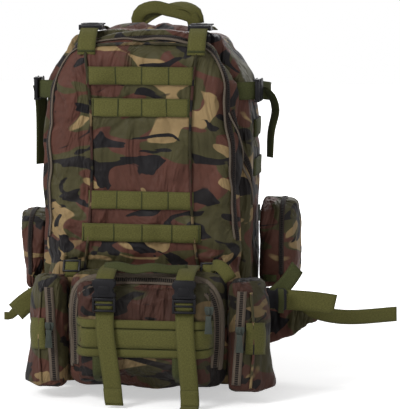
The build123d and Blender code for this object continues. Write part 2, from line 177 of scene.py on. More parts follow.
# %% Finish helper
class Finish:
    """A node material, with short calls for the nodes that every finish uses."""

    def __init__(self, name, roughness, sheen=0.0, specular=0.5, uv=False):
        self.material = bpy.data.materials.new(name)
        self.material.use_nodes = True
        self.tree = self.material.node_tree
        self.shader = self.tree.nodes["Principled BSDF"]
        self.shader.inputs["Roughness"].default_value = roughness
        self.shader.inputs["Sheen Weight"].default_value = sheen
        self.shader.inputs["Specular IOR Level"].default_value = specular
        coords = self.tree.nodes.new("ShaderNodeTexCoord")
        self.place = coords.outputs["UV" if uv else "Object"]
        self.last_normal = None

    def node(self, kind, **values):
        made = self.tree.nodes.new("ShaderNode" + kind)
        for key, value in values.items():
            setattr(made, key, value)
        return made

    def link(self, source, target):
        self.tree.links.new(source, target)

    def mapped(self, stretch=(1, 1, 1), shift=(0, 0, 0)):
        mapping = self.node("Mapping")
        mapping.inputs["Scale"].default_value = stretch
        mapping.inputs["Location"].default_value = shift
        self.link(self.place, mapping.inputs["Vector"])
        return mapping.outputs[0]

    def noise(self, scale, detail=2.0, distortion=0.0, rough=0.5, **where):
        made = self.node("TexNoise")
        made.inputs["Scale"].default_value = scale
        made.inputs["Detail"].default_value = detail
        made.inputs["Distortion"].default_value = distortion
        made.inputs["Roughness"].default_value = rough
        self.link(self.mapped(**where), made.inputs["Vector"])
        return made.outputs[0]

    def ramp(self, value, low, high, to_low=0.0, to_high=1.0):
        made = self.node("MapRange")
        for key, number in (("From Min", low), ("From Max", high), ("To Min", to_low), ("To Max", to_high)):
            made.inputs[key].default_value = number
        self.link(value, made.inputs["Value"])
        return made.outputs[0]

    def mix(self, amount, first, second):
        made = self.node("Mix", data_type="RGBA")
        for socket, source in ((made.inputs[0], amount), (made.inputs[6], first), (made.inputs[7], second)):
            if isinstance(source, tuple):
                socket.default_value = (*source, 1.0)
            elif isinstance(source, float):
                socket.default_value = source
            else:
                self.link(source, socket)
        return made.outputs[2]

    def maths(self, operation, first, second=0.0):
        made = self.node("Math", operation=operation)
        for socket, source in ((made.inputs[0], first), (made.inputs[1], second)):
            if isinstance(source, (int, float)):
                socket.default_value = source
            else:
                self.link(source, socket)
        return made.outputs[0]

    def bump(self, height, strength, distance):
        made = self.node("Bump")
        made.inputs["Strength"].default_value = strength
        made.inputs["Distance"].default_value = distance
        self.link(height, made.inputs["Height"])
        if self.last_normal is not None:
            self.link(self.last_normal, made.inputs["Normal"])
        self.last_normal = made.outputs[0]
        self.link(self.last_normal, self.shader.inputs["Normal"])

    def colour(self, source):
        self.link(source, self.shader.inputs["Base Color"])

    def roughness(self, source):
        self.link(source, self.shader.inputs["Roughness"])


def srgb(red, green, blue):
    """A colour as the eye names it, 0 to 255, turned to the linear values of light."""
    return tuple(((v / 255 + 0.055) / 1.055) ** 2.4 if v > 10 else v / 255 / 12.92
                 for v in (red, green, blue))


print("finish helper ready")

# %% [markdown]
# ### Woodland camouflage cloth
# The print has four inks: a red-brown ground, dark leaf green, a little sand, and
# near-black branches on top. Each ink is a large, twisted noise cut hard at one
# level, stretched sideways as the printed blots are. A fine weave and slow creases
# go into the bump, and the creases are also darkened a little with painted shade.
# Darker copies of the cloth, with every ink dimmed evenly, are painted shade for
# the parts of the pack that lie in shadow.

# %% Camouflage cloth
BROWN_INK = srgb(94, 59, 49)
GREEN_INK = srgb(76, 72, 46)
SAND_INK = srgb(160, 135, 95)
BLACK_INK = srgb(25, 23, 26)


def camouflage(name, shift, painted_light=1.0):
    cloth = Finish(name, roughness=0.5, sheen=0.03, specular=0.14)
    # a factor below 1 dims every ink evenly: painted shade for cloth that lies in shadow
    inks = [tuple(v * painted_light for v in ink) for ink in (BROWN_INK, GREEN_INK, SAND_INK, BLACK_INK)]
    wide = (1.0, 1.0, 1.75)

    def blot(scale, level, seed, twist, detail=1.6):
        field = cloth.noise(scale, detail, twist, 0.42, stretch=wide, shift=(shift + seed, seed * 0.7,
                                                                             seed * 1.3))
        return cloth.ramp(field, level - 0.006, level + 0.006)

    ground = cloth.mix(blot(9.5, 0.520, 3.1, 1.1), inks[0], inks[1])
    sand = cloth.mix(blot(9.0, 0.600, 7.7, 1.4), ground, inks[2])
    inked = cloth.mix(blot(10.5, 0.572, 12.4, 2.2), sand, inks[3])
    fade = cloth.noise(3.2, 3.0)
    crease = cloth.noise(34.0, 4.0, 0.6, 0.6, stretch=(1.0, 1.0, 0.55))
    # painted shade: the low parts of the crease noise, where the bump folds in, are darkened towards
    # near-black
    crease_shaded = cloth.mix(cloth.ramp(crease, 0.30, 0.70, 0.34, 0.0), inked, srgb(24, 20, 18))
    cloth.colour(cloth.mix(cloth.ramp(fade, 0.35, 0.7, 0.0, 0.04), crease_shaded, srgb(120, 104, 82)))
    cloth.roughness(cloth.ramp(crease, 0.2, 0.8, 0.62, 0.46))
    warp = cloth.node("TexWave", bands_direction="X")
    weft = cloth.node("TexWave", bands_direction="Z")
    for wave in (warp, weft):
        wave.inputs["Scale"].default_value = 330
        wave.inputs["Distortion"].default_value = 0.6
        cloth.link(cloth.place, wave.inputs["Vector"])
    cloth.bump(cloth.maths("MULTIPLY", warp.outputs["Fac"], weft.outputs["Fac"]), 0.25, 0.0004)
    cloth.bump(crease, 0.5, 0.0035)
    folds = cloth.noise(11.0, 3.0, 1.6, 0.55, stretch=(1.3, 1.0, 0.6))
    cloth.bump(folds, 0.9, 0.028)
    return cloth.material


camo = camouflage("camo_cloth", 0.0)
# the darker copies below are painted shade for the parts of the pack that lie in shadow
camo_low_shaded = camouflage("camo_cloth_low_shaded", 5.3, 0.9)
camo_waist_shaded = camouflage("camo_cloth_waist_shaded", 5.3, 0.56)
camo_side_shaded = camouflage("camo_cloth_side_shaded", 11.9, 0.9)
# the darkest copy, for the panel's edges: painted shade along the seams
camo_seam_shaded = camouflage("camo_cloth_seam_shaded", 11.9, 0.5)
print("camouflage ready:", camo.name, camo_low_shaded.name, camo_side_shaded.name)

# %% [markdown]
# ### Olive webbing
# Webbing is a thick tape with fine ribs along it and a firm edge at each side. The
# ribs follow the strap's own UV map, where U is metres along it and V runs from
# -0.5 to 0.5 across, so they turn every corner with the strap.

# %% Webbing
def webbing_finish(name, lit, shade):
    tape = Finish(name, roughness=0.72, sheen=0.06, specular=0.12, uv=True)
    parts = tape.node("SeparateXYZ")
    tape.link(tape.place, parts.inputs[0])
    along, across = parts.outputs[0], parts.outputs[1]
    ribs = tape.maths("SINE", tape.maths("MULTIPLY", across, 2 * math.pi * 9))
    picks = tape.maths("SINE", tape.maths("MULTIPLY", along, 2 * math.pi / 0.0019))
    weave = tape.maths("MULTIPLY", ribs, picks)
    edge = tape.ramp(tape.maths("ABSOLUTE", across), 0.41, 0.45)
    mottle = tape.noise(420.0, 3.0, 0.2, 0.6, stretch=(1.0, 0.05, 1.0))
    tone = tape.mix(tape.ramp(mottle, 0.3, 0.7), shade, lit)
    tone = tape.mix(tape.ramp(weave, -0.2, 1.0, 0.0, 0.35), tone, shade)
    tape.colour(tape.mix(tape.maths("MULTIPLY", edge, 0.45), tone, shade))
    tape.bump(weave, 0.35, 0.0004)
    tape.bump(edge, 0.4, 0.0006)
    return tape.material


olive = webbing_finish("olive_webbing", srgb(104, 101, 55), srgb(76, 75, 38))
olive_dark = webbing_finish("dark_olive_webbing", srgb(78, 82, 48), srgb(56, 58, 32))
thread = webbing_finish("stitching", srgb(70, 74, 42), srgb(48, 50, 28))
print("webbing ready")

# %% [markdown]
# ### Zips, piping, plastic and padding
# A coil zip has woven tape at both sides and close-set turns in the middle. The
# turns are stripes along U, with painted shade in the near-black gaps between
# them. Buckles are dark moulded plastic with a faint grain, the pulls are
# green-grey, and the back pads wear an open knitted mesh whose holes are painted
# dark as shade.

# %% Zips, piping, plastic and padding
def zip_finish(name, tape_ink, coil_ink):
    tape = Finish(name, roughness=0.7, sheen=0.05, specular=0.15, uv=True)
    parts = tape.node("SeparateXYZ")
    tape.link(tape.place, parts.inputs[0])
    along, across = parts.outputs[0], parts.outputs[1]
    turns = tape.maths("SINE", tape.maths("MULTIPLY", along, 2 * math.pi / 0.0030))
    coil = tape.ramp(tape.maths("ABSOLUTE", across), 0.20, 0.16)
    weave = tape.maths("SINE", tape.maths("MULTIPLY", across, 2 * math.pi * 14))
    mottle = tape.noise(90.0, 3.0)
    cloth = tape.mix(tape.ramp(mottle, 0.3, 0.7, 0.0, 0.4), tape_ink, coil_ink)
    # painted shade: the gaps between the coil's turns are near-black
    coil_with_shaded_gaps = tape.mix(tape.ramp(turns, -0.4, 0.6), srgb(22, 20, 18), coil_ink)
    tape.colour(tape.mix(coil, cloth, coil_with_shaded_gaps))
    tape.bump(weave, 0.2, 0.0003)
    tape.bump(tape.maths("MULTIPLY", turns, coil), 0.7, 0.0009)
    return tape.material


def moulded(name, ink, gloss):
    body = Finish(name, roughness=gloss, specular=0.18)
    grain = body.noise(900.0, 2.0)
    smear = body.noise(28.0, 3.0)
    body.colour(body.mix(body.ramp(smear, 0.35, 0.75, 0.0, 0.35), ink, tuple(v * 1.7 + 0.01 for v in ink)))
    body.roughness(body.ramp(smear, 0.3, 0.7, gloss - 0.07, gloss + 0.12))
    body.bump(grain, 0.12, 0.0003)
    return body.material


def knitted_mesh(name, ink, hole_shade_ink):
    knit = Finish(name, roughness=0.85, sheen=0.08, specular=0.12)
    cells = knit.node("TexVoronoi")
    cells.inputs["Scale"].default_value = 260
    knit.link(knit.mapped(stretch=(1.0, 0.4, 0.8)), cells.inputs["Vector"])
    hole = knit.ramp(cells.outputs["Distance"], 0.18, 0.34)
    # painted shade: the recessed holes of the mesh are coloured near-black
    knit.colour(knit.mix(hole, hole_shade_ink, ink))
    knit.bump(hole, 0.6, 0.0012)
    return knit.material


brown_zip = zip_finish("brown_zip", srgb(104, 92, 80), srgb(74, 64, 56))
dark_zip = zip_finish("dark_zip", srgb(46, 36, 32), srgb(36, 30, 28))
piping_cloth = webbing_finish("grey_piping", srgb(120, 108, 94), srgb(92, 82, 72))
black_plastic = moulded("black_plastic", srgb(21, 20, 23), 0.36)
green_plastic = moulded("green_grey_plastic", srgb(60, 65, 59), 0.4)
pad_mesh = knitted_mesh("pad_mesh", srgb(62, 60, 50), srgb(22, 21, 19))
lining = moulded("dark_lining", srgb(52, 48, 42), 0.6)
print("zips, plastic and padding ready")

# %% [markdown]
# ## How the cloth bags are made
# Each bag starts as a few corner points, is extruded to its depth, and gets its
# edges rounded. A voxel remesh gives it an even skin, and Cloth with air pressure
# swells it between its edges, as stuffing does. No point may move further than a
# cap, so the bag stays in its own place. Slow ridged noise then puts in the creases.

# %% Bag helpers
def linked(name, mesh, material, body, nodes=()):
    """Put a finished mesh in the scene, with its finish, its body and what it stands for."""
    piece = bpy.data.objects.new(name, mesh)
    bpy.context.scene.collection.objects.link(piece)
    mesh.materials.clear()
    mesh.materials.append(material)
    for polygon in mesh.polygons:
        polygon.use_smooth = True
    if body:
        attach(piece, body)
    if nodes:
        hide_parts(*nodes)
    return piece


def baked(piece):
    """The piece's mesh with its modifiers applied."""
    graph = bpy.context.evaluated_depsgraph_get()
    return bpy.data.meshes.new_from_object(piece.evaluated_get(graph))


def block(corners, plane, low, high, taper=1.0, rounding=0.012):
    """A bmesh extruded from corner points. plane names the axis it is extruded along."""
    spot = {"y": lambda a, b, c: (a, c, b), "x": lambda a, b, c: (c, a, b), "z": lambda a, b, c: (a, b,
                                                                                                  c)}[plane]
    bm = bmesh.new()
    face = bm.faces.new([bm.verts.new(spot(a * MM, b * MM, low * MM)) for a, b in corners])
    middle = face.calc_center_median()
    grown = bmesh.ops.extrude_face_region(bm, geom=[face])
    moved = [v for v in grown["geom"] if isinstance(v, bmesh.types.BMVert)]
    bmesh.ops.translate(bm, verts=moved, vec=Vector(spot(0, 0, (high - low) * MM)))
    squeeze = Vector(spot(taper, taper, 1.0))
    shift = Matrix.Translation(-middle)
    bmesh.ops.scale(bm, verts=moved, vec=squeeze, space=shift)
    bmesh.ops.recalc_face_normals(bm, faces=bm.faces)
    if rounding:
        bmesh.ops.bevel(bm, geom=bm.edges[:], offset=rounding, offset_type="OFFSET", segments=3,
                        profile=0.5, affect="EDGES", clamp_overlap=True, material=-1)
    return bm


def creased(mesh, depth, size, seed, stretch=(1, 1, 1)):
    """Push the skin in along slow ridged noise, so that it folds like loose cloth."""
    mesh.update()
    normals = [v.normal.copy() for v in mesh.vertices]
    for vertex, normal in zip(mesh.vertices, normals):
        spot = Vector(c / size * s for c, s in zip(vertex.co, stretch)) + Vector((seed, seed * 2, -seed))
        ridge = 1 - abs(noise.noise(spot)) * 2.2
        fine = noise.noise(spot * 2.3) * 0.45
        vertex.co -= normal * depth * (max(ridge, 0.0) ** 2 + fine)


def stuffed(name, bm, voxel=0.006, pressure=4.0, cap=0.008, box=None, crease=0.0016, size=0.045, seed=1.0,
            fit=None):
    """Swell a block with air pressure, and return the mesh. box keeps it from its neighbours.
    fit stretches it sideways and upwards to a half width and a height."""
    mesh = bpy.data.meshes.new(name)
    bm.to_mesh(mesh)
    bm.free()
    work = bpy.data.objects.new(name + "_work", mesh)
    bpy.context.scene.collection.objects.link(work)
    skin = work.modifiers.new("skin", "REMESH")
    skin.mode = "VOXEL"
    skin.voxel_size = voxel
    even = baked(work)
    work.modifiers.clear()
    work.data = even
    start = [v.co.copy() for v in even.vertices]
    air = work.modifiers.new("air", "CLOTH")
    air.settings.use_pressure = True
    air.settings.uniform_pressure_force = pressure
    air.settings.effector_weights.gravity = 0
    air.settings.quality = 4
    air.point_cache.frame_start = 1
    air.point_cache.frame_end = 20
    for frame_number in range(1, 21):
        bpy.context.scene.frame_set(frame_number)
    swollen = baked(work)
    work.modifiers.clear()
    for vertex, first in zip(swollen.vertices, start):
        step = vertex.co - first
        if step.length > cap:
            vertex.co = first + step.normalized() * cap
    even = swollen
    bpy.context.scene.frame_set(1)
    if fit:
        half_now = max(abs(v.co.x) for v in even.vertices)
        tall_now = max(v.co.z for v in even.vertices)
        for vertex in even.vertices:
            vertex.co.x *= fit[0] * MM / half_now
            vertex.co.z *= fit[1] * MM / tall_now
    if crease:
        creased(even, crease, size, seed)
    if box:
        low, high = box
        for vertex in even.vertices:
            for axis in range(3):
                vertex.co[axis] = min(max(vertex.co[axis], low[axis] * MM), high[axis] * MM)
    bpy.data.objects.remove(work)
    print(name, "swelled:", len(even.vertices), "points")
    return even


def surface(*pieces):
    """One tree of the pieces' skins, for laying straps and zips on them."""
    points, faces = [], []
    for piece in pieces:
        mesh = baked(piece)
        start = len(points)
        points.extend(v.co.copy() for v in mesh.vertices)
        faces.extend([start + i for i in p.vertices] for p in mesh.polygons)
        bpy.data.meshes.remove(mesh)
    return BVHTree.FromPolygons(points, faces)


print("bag helpers ready")

# %% [markdown]
# ## How the straps, zips and seams are made
# They are all tapes: a grid bent along a path, with its own UV map. A tape can be
# laid on a bag: each point is dropped onto the skin from outside, so the tape takes
# the bag's bulge. Solidify then gives it its thickness.

# %% Tape helper
def smooth_path(points, step=0.006):
    """Even steps along a smooth curve through the points, given in millimetres."""
    knots = [Vector(p) * MM for p in points]
    ends = [knots[0] * 2 - knots[1]] + knots + [knots[-1] * 2 - knots[-2]]
    line = []
    for a, b, c, d in zip(ends, ends[1:], ends[2:], ends[3:]):
        count = max(int((c - b).length / step), 2)
        for i in range(count):
            t = i / count
            line.append(0.5 * ((2 * b) + (c - a) * t + (2 * a - 5 * b + 4 * c - d) * t * t
                               + (3 * b - a - 3 * c + d) * t ** 3))
    line.append(knots[-1])
    return line


def tape(name, points, across, width, material, body, nodes=(), out=(0, -1, 0), lay=None, lift=0.8,
         thick=1.5, slot="webbing", rows=4, crown=0.0, bulge=0.0, tuck=(), reach=0.2, centre=None, relax=0):
    """A strap, zip or seam along points. Without across it lies flat towards out."""
    line = smooth_path(points)
    bm = bmesh.new()
    bmesh.ops.create_grid(bm, x_segments=len(line) - 1, y_segments=rows, size=1.0)
    bm.verts.ensure_lookup_table()
    uv = bm.loops.layers.uv.new("UVMap")
    length = [0.0]
    for a, b in zip(line, line[1:]):
        length.append(length[-1] + (b - a).length)
    total = length[-1]
    drop = None
    for vertex in bm.verts:
        i = round((vertex.co.x + 1) / 2 * (len(line) - 1))
        side = vertex.co.y / 2
        t = length[i] / total
        tangent = (line[min(i + 1, len(line) - 1)] - line[max(i - 1, 0)]).normalized()
        toward = line[i] - Vector(centre) * MM if centre else Vector(out)
        over = Vector(across).normalized() if across else tangent.cross(toward).normalized()
        facing = tangent.cross(over).normalized()
        if facing.dot(toward) < 0:
            facing = -facing
        wide = (width(t) if callable(width) else width) * MM
        spot = line[i] + over * side * wide
        raised = lift + crown * (1 - (2 * side) ** 2)
        if bulge:
            gaps = [abs(t - k) for k in tuck]
            raised += bulge * min(min(gaps) / 0.05, 1.0)
        if lay:
            hit = lay.ray_cast(spot + facing * reach, -facing, reach * 2)[0]
            if hit is None and drop is not None and not centre:
                hit = lay.find_nearest(spot + drop)[0]      # past the bag's edge
            if hit is not None:
                drop = hit - spot
                spot = hit
        spot += facing * raised * MM
        for loop in vertex.link_loops:
            loop[uv].uv = (length[i], side)
        vertex.co = spot
    for _ in range(relax):
        bmesh.ops.smooth_vert(bm, verts=bm.verts, factor=0.5, use_axis_x=True, use_axis_y=True,
                              use_axis_z=True)
    first = bm.faces[:][len(bm.faces) // 2]
    first.normal_update()
    middle = first.calc_center_median()
    toward = middle - Vector(centre) * MM if centre else Vector(out)
    if first.normal.dot(toward) < 0:
        bmesh.ops.reverse_faces(bm, faces=bm.faces)
    mesh = bpy.data.meshes.new(name)
    bm.to_mesh(mesh)
    bm.free()
    piece = linked(name, mesh, material, body, nodes)
    wall = piece.modifiers.new("thickness", "SOLIDIFY")
    wall.thickness = thick * MM
    wall.offset = -1 if lift >= thick else 1
    return piece


def seam(*where, **how):
    """A tape for a zip, a piping or a sewn edge."""
    return tape(*where, slot="camo_cloth", **how)


print("tape helper ready")

# %% [markdown]
# ## The main compartment
# It is a deep bag that is open at the front, where the folding front closes it. It
# is swelled as one closed bag, then its front is cut away and the skin gets a wall,
# with a darker lining inside.

# %% Arched outline shared by the pack's layers
HALF = 155.0
TALL = 505.0


def arch(half, top, foot=0.0):
    """Corner points of the arched shape, as the measured frame has it."""
    return [(-half, foot), (half, foot), (half, top * 0.70), (half * 0.94, top * 0.88), (half * 0.68, top),
            (-half * 0.68, top), (-half * 0.94, top * 0.88), (-half, top * 0.70)]


def opened(mesh, cut_at, facing):
    """Cut a closed bag open at a plane, on the side that facing points to."""
    bm = bmesh.new()
    bm.from_mesh(mesh)
    bmesh.ops.bisect_plane(bm, geom=bm.verts[:] + bm.edges[:] + bm.faces[:], plane_co=Vector(cut_at) * MM,
                           plane_no=facing, clear_outer=True)
    bm.to_mesh(mesh)
    bm.free()
    return mesh


def walled(piece, wall=2.5):
    """Solidify inwards with the lining as the inner face."""
    piece.data.materials.append(lining)
    skin = piece.modifiers.new("wall", "SOLIDIFY")
    skin.thickness = wall * MM
    skin.offset = -1
    skin.material_offset = 1
    return piece


# %% [markdown]
# ### The bag of the main compartment
# A plain block would look stiff. The block is swelled and creased first, its top is
# raised a little in the middle, as cloth over a full load is, and its sides lean in
# towards the zip. Only then is it cut open.

# %% Main compartment
shell_mesh = stuffed("main_bag", block(arch(HALF + 1, TALL - 3, 1), "y", -30, 93, rounding=0.012),
                     voxel=0.007, cap=0.007, box=((-157, -60, 0), (157, 97, 510)), crease=0.0036, size=0.07,
                     seed=2.0, fit=(157, TALL))
for vertex in shell_mesh.vertices:
    crown = max(1 - (vertex.co.x / 0.105) ** 2, 0.0) * min(max((vertex.co.z - 0.44) / 0.06, 0.0), 1.0)
    vertex.co.z += 0.012 * crown
    if vertex.co.y < 0.05:
        vertex.co.x *= 1 - 0.025 * min((0.05 - vertex.co.y) / 0.05, 1.2)
# the compartment wears a darker copy of the cloth: painted shade on its sides
main_bag = linked("main_bag", opened(shell_mesh, (0, -3.6, 0), (0, -1, 0)), camo_side_shaded, "pack",
                  ("main_shell",))
walled(main_bag)
print("main compartment done")

# %% [markdown]
# ## The folding front
# Two soft layers with a zip between them. The back layer closes the main
# compartment, the front bag is the pocket that carries the webbing panel. Both go
# right down to the ground.

# %% Folding front
back_layer = block(arch(HALF - 9, TALL - 5, 2), "y", -4.8, -39, rounding=0.006)
back_mesh = stuffed("flap_layer", back_layer, cap=0.005, box=((-149, -43, 0), (149, -4.6, 504)),
                    crease=0.0028, size=0.06, seed=6.0, fit=(151, TALL - 3))
front_block = block(arch(HALF - 26, TALL - 11, 4), "y", -41, -72, taper=0.90, rounding=0.014)
front_mesh = stuffed("front_bag_skin", front_block, voxel=0.005, cap=0.011, pressure=5,
                     box=((-146, -90, 0), (146, -40, 498)), crease=0.0052, size=0.062, seed=9.0,
                     fit=(141, TALL - 10))
for vertex in front_mesh.vertices:
    if vertex.co.z < 0.19:
        vertex.co.y = max(vertex.co.y, -0.0758)
for bag_mesh in (front_mesh, back_mesh):
    for vertex in bag_mesh.vertices:
        crown = max(1 - (vertex.co.x / 0.095) ** 2, 0.0) * min(max((vertex.co.z - 0.45) / 0.045, 0.0), 1.0)
        vertex.co.z += 0.009 * crown
front_skin = linked("front_bag_skin", front_mesh, camo, None, ("front_bag",))
flap_layer = linked("flap_layer", back_mesh, camo_side_shaded, None, ("flap_back", "lower_front"))
front_tree = surface(front_skin)
print("folding front done")

# %% [markdown]
# ## Webbing panel and its rows
# An hourglass of the same cloth is sewn on the front bag, and four rows of webbing
# cross it. Each row is tacked at even steps and stands a little proud between the
# tacks, because a loop has to take a strap there.

# %% Webbing panel
def hourglass(t):
    """Width of the panel, from its foot (0) to its top (1)."""
    return 2 * (69 + 13 * abs(2 * t - 1.1) ** 2.2)


PANEL_FOOT = 150.0
PANEL_TOP = 491.0
panel = seam("webbing_panel_cloth", [(0, 0, PANEL_FOOT), (0, 0, 290), (0, 0, 380), (0, 0, PANEL_TOP)],
             (1, 0, 0), hourglass, camo, None, ("webbing_panel", "top_pocket"), lay=front_tree, lift=1.6,
             thick=1.4, rows=28)
panel_edges = []
# the panel's edges wear the darkest copy of the cloth: painted shade along the seams
for sign in (-1, 1):
    edge = [(sign * hourglass(k / 6) / 2, 0,
             PANEL_FOOT + (PANEL_TOP - PANEL_FOOT) * k / 6) for k in range(7)]
    panel_edges.append(seam(f"panel_edge_{'right' if sign > 0 else 'left'}", edge, (1, 0, 0), 4, camo_seam_shaded,
                            None, lay=front_tree, lift=3.0, thick=2.0, crown=1.0))
panel_edges.append(seam("panel_edge_top", [(-78, 0, PANEL_TOP - 3), (-30, 0, PANEL_TOP), (30, 0, PANEL_TOP),
                                           (78, 0, PANEL_TOP - 3)], (0, 0, 1), 4, camo_seam_shaded, None,
                        lay=front_tree, lift=3.0, thick=2.0, crown=1.0))
panel_tree = surface(panel, front_skin)
row_places = (("low", 216, 84), ("third", 262, 74), ("second", 391, 69), ("top", 435, 76))
for row, foot, half in row_places:
    tacks = (0.0, 0.27, 0.51, 0.76, 1.0)
    level = foot + 12.5
    tape(f"row_{row}", [(-half, 0, level), (0, 0, level), (half, 0, level)], (0, 0, 1), 25, olive,
         "front_flap", lay=panel_tree, lift=1.7, bulge=1.6, tuck=tacks)
    for k, tack in enumerate(tacks):
        at = -half + 2 * half * min(max(tack, 0.015), 0.985)
        tape(f"row_{row}_tack_{k}", [(at, 0, level - 12), (at, 0, level), (at, 0, level + 12)], (1, 0, 0),
             1.7, thread, "front_flap", lay=panel_tree, lift=2.6, thick=0.9, rows=2)
for skin in (front_skin, panel, *panel_edges):
    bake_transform(skin)
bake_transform(flap_layer)
print("webbing panel and rows done")

# %% [markdown]
# ## Pocket at the top
# A pocket opens along the top of the front bag, over the panel. Only its curved zip
# and the cloth lip above it show. Both are laid over the bag's upper edge.

# %% Top pocket
seam("top_pocket_zip", [(-62, -62, 486), (-40, -58, 494), (0, -54, 498), (35, -54, 498), (60, -58, 494)],
     None, 8, dark_zip, "front_flap", lift=1.0, thick=1.2, crown=1.0, out=(0, -1, 1))
seam("top_pocket_lip", [(-70, -56, 488), (-42, -52, 498), (0, -48, 503), (38, -48, 503), (66, -52, 498)],
     None, 9, camo_side_shaded, "front_flap", lift=1.0, thick=2.6, crown=1.6, out=(0, -1, 1))
print("top pocket done")

# %% [markdown]
# ## Big zips
# The zip of the front bag runs round its edge, with a light piping beside it. The
# main zip bridges the gap between the main compartment and the folding front, and
# stays with the compartment. Both lie on the bags' own skins, facing outwards from
# the pack's middle.

# %% Big zips
skins = surface(front_skin, flap_layer)
bag_line = [(-135, -60, 214), (-137, -60, 300), (-136, -60, 380), (-131, -60, 440), (-116, -60, 474),
            (-92, -60, 490), (-50, -58, 497), (0, -56, 499), (50, -58, 498), (88, -60, 492),
            (108, -62, 474), (113, -64, 440), (117, -64, 380), (123, -64, 315), (130, -62, 255),
            (133, -62, 214)]
seam("front_bag_zip", bag_line, None, 9, dark_zip, "front_flap", lay=skins, lift=1.4, thick=1.2, crown=0.6,
     centre=(0, 20, 300), reach=0.05, relax=4)
inner_line = [(x * 0.945, y - 3, 300 + (z - 300) * 0.965) for x, y, z in bag_line]
seam("front_bag_piping", inner_line, None, 4.5, piping_cloth, "front_flap", lay=skins, lift=2.4, thick=2.2,
     crown=1.6, centre=(0, 20, 300), reach=0.05, relax=4)
curved_line = [(120, -60, 402), (132, -54, 376), (141, -44, 340), (147, -30, 300), (150, -18, 266)]
seam("front_curved_zip", curved_line, None, 10, dark_zip, "front_flap", lay=skins, lift=1.4, thick=1.2,
     crown=0.6, centre=(0, 20, 330), reach=0.05, relax=4)
seam("front_curved_piping", [(x - 8, y - 3, z - 5) for x, y, z in curved_line], None, 4, piping_cloth,
     "front_flap", lay=skins, lift=2.4, thick=2.2, crown=1.4, centre=(0, 20, 330), reach=0.05, relax=4)
rim_tree = surface(main_bag)
rim = [(x, -3.4, z) for x, z in arch(152, TALL - 1.5, 22)]
rim_path = [rim[0], (-152, -3.4, 180), rim[7], (-150, -3.4, 400), rim[6], (-127, -3.4, 480), rim[5],
            (-50, -3.4, 509), (0, -3.4, 513), (50, -3.4, 509), rim[4], (127, -3.4, 480), rim[3],
            (150, -3.4, 400), rim[2], (152, -3.4, 180), rim[1]]
seam("main_zip_rim", rim_path, (0, 1, 0), 13, dark_zip, "pack", lay=surface(main_bag, flap_layer), lift=1.2,
     thick=1.2, crown=0.4, centre=(0, -3.4, 250), reach=0.03, relax=3)
print("big zips done")

# %% [markdown]
# ## Side rows
# Two short rows of webbing cross each side of the main compartment. They are laid on
# the bag from outside and tacked at both ends and in the middle, so they stand a
# little proud between the tacks.

# %% Side rows
for sign, side in SIDES:
    for row, level in (("upper", 368), ("lower", 312)):
        tape(f"side_row_{row}_{side}", [(sign * 156, 14, level), (sign * 158, 48, level),
                                        (sign * 156, 84, level)], (0, 0, 1), 25, olive_dark, "pack",
             lay=rim_tree, lift=1.7, bulge=1.2, tuck=(0.0, 0.5, 1.0), out=(sign, 0, 0))
print("side rows done")

# %% [markdown]
# ## Waist pack
# The waist pack has one wide bag with a rounded front, closed by a thick zip that
# runs up, over and down its front edge, and a wing pocket with an upright zip at
# each side. A band of webbing crosses the front.

# %% Waist pack bags
SHIFT = 14.0                 # the waist pack is strapped on a little to the right
waist_block = block([(-96, 18), (124, 18), (124, 180), (-96, 180)], "y", -78, -140, rounding=0.020)
waist_mesh = stuffed("waist_bag", waist_block, cap=0.008, box=((-98, -144, 10), (126, -76.6, 186)),
                     crease=0.0022, seed=12.0)
# the waist pack's bags wear darker copies of the cloth, its front and right wing darkest: painted shade, as
# the light comes from the left
waist_bag = linked("waist_bag", waist_mesh, camo_low_shaded, "waist_pack", ("waist_rear",))
lid_block = block([(-92, 21), (120, 21), (120, 177), (-92, 177)], "y", -132, -158, taper=0.93,
                  rounding=0.018)
lid_mesh = stuffed("waist_front_bag", lid_block, voxel=0.005, cap=0.012, pressure=6,
                   box=((-97, -164, 12), (125, -130, 184)), crease=0.0028, size=0.04, seed=15.0)
waist_lid = linked("waist_front_bag", lid_mesh, camo_waist_shaded, "waist_pack", ("waist_front",))
wing_block = block([(127, -78), (127, -137), (158, -138), (183, -112), (183, -78)], "z", 15, 162,
                   taper=0.94, rounding=0.010)
wing_mesh = stuffed("wing_bag_right", wing_block, voxel=0.005, cap=0.009,
                    box=((123, -150, 8), (192, -76.6, 172)), crease=0.0028, size=0.04, seed=18.0)


def mirrored(mesh, about=0.0):
    """The same bag for the other side of the pack, turned the right way out again."""
    bm = bmesh.new()
    bm.from_mesh(mesh)
    for vertex in bm.verts:
        vertex.co.x = 2 * about * MM - vertex.co.x
    bmesh.ops.reverse_faces(bm, faces=bm.faces)
    other = bpy.data.meshes.new(mesh.name + "_other")
    bm.to_mesh(other)
    bm.free()
    return other


for vertex in wing_mesh.vertices:
    vertex.co.z *= 1.065
    low_down = max(1 - vertex.co.z / 0.075, 0.0)
    if vertex.co.x > 0.145:
        vertex.co.x += 0.016 * low_down ** 1.5
    vertex.co.x -= 0.006 * max((vertex.co.z - 0.13) / 0.045, 0.0) * (vertex.co.x > 0.15)
# the right wing gets a darker copy than the left one: painted shade, as the light comes from the left
wings = {1: linked("wing_bag_right", wing_mesh, camo_waist_shaded, "waist_pack", ("wing_right",))}
wings[-1] = linked("wing_bag_left", mirrored(wing_mesh, SHIFT), camo_side_shaded, "waist_pack", ("wing_left",))
print("waist pack bags done")

# %% [markdown]
# ### Waist pack zips and band
# The waist pack's zip sits on the rounded shoulder of its front, so it faces forward
# and outward at once. The band and the upright zips are laid from the front.

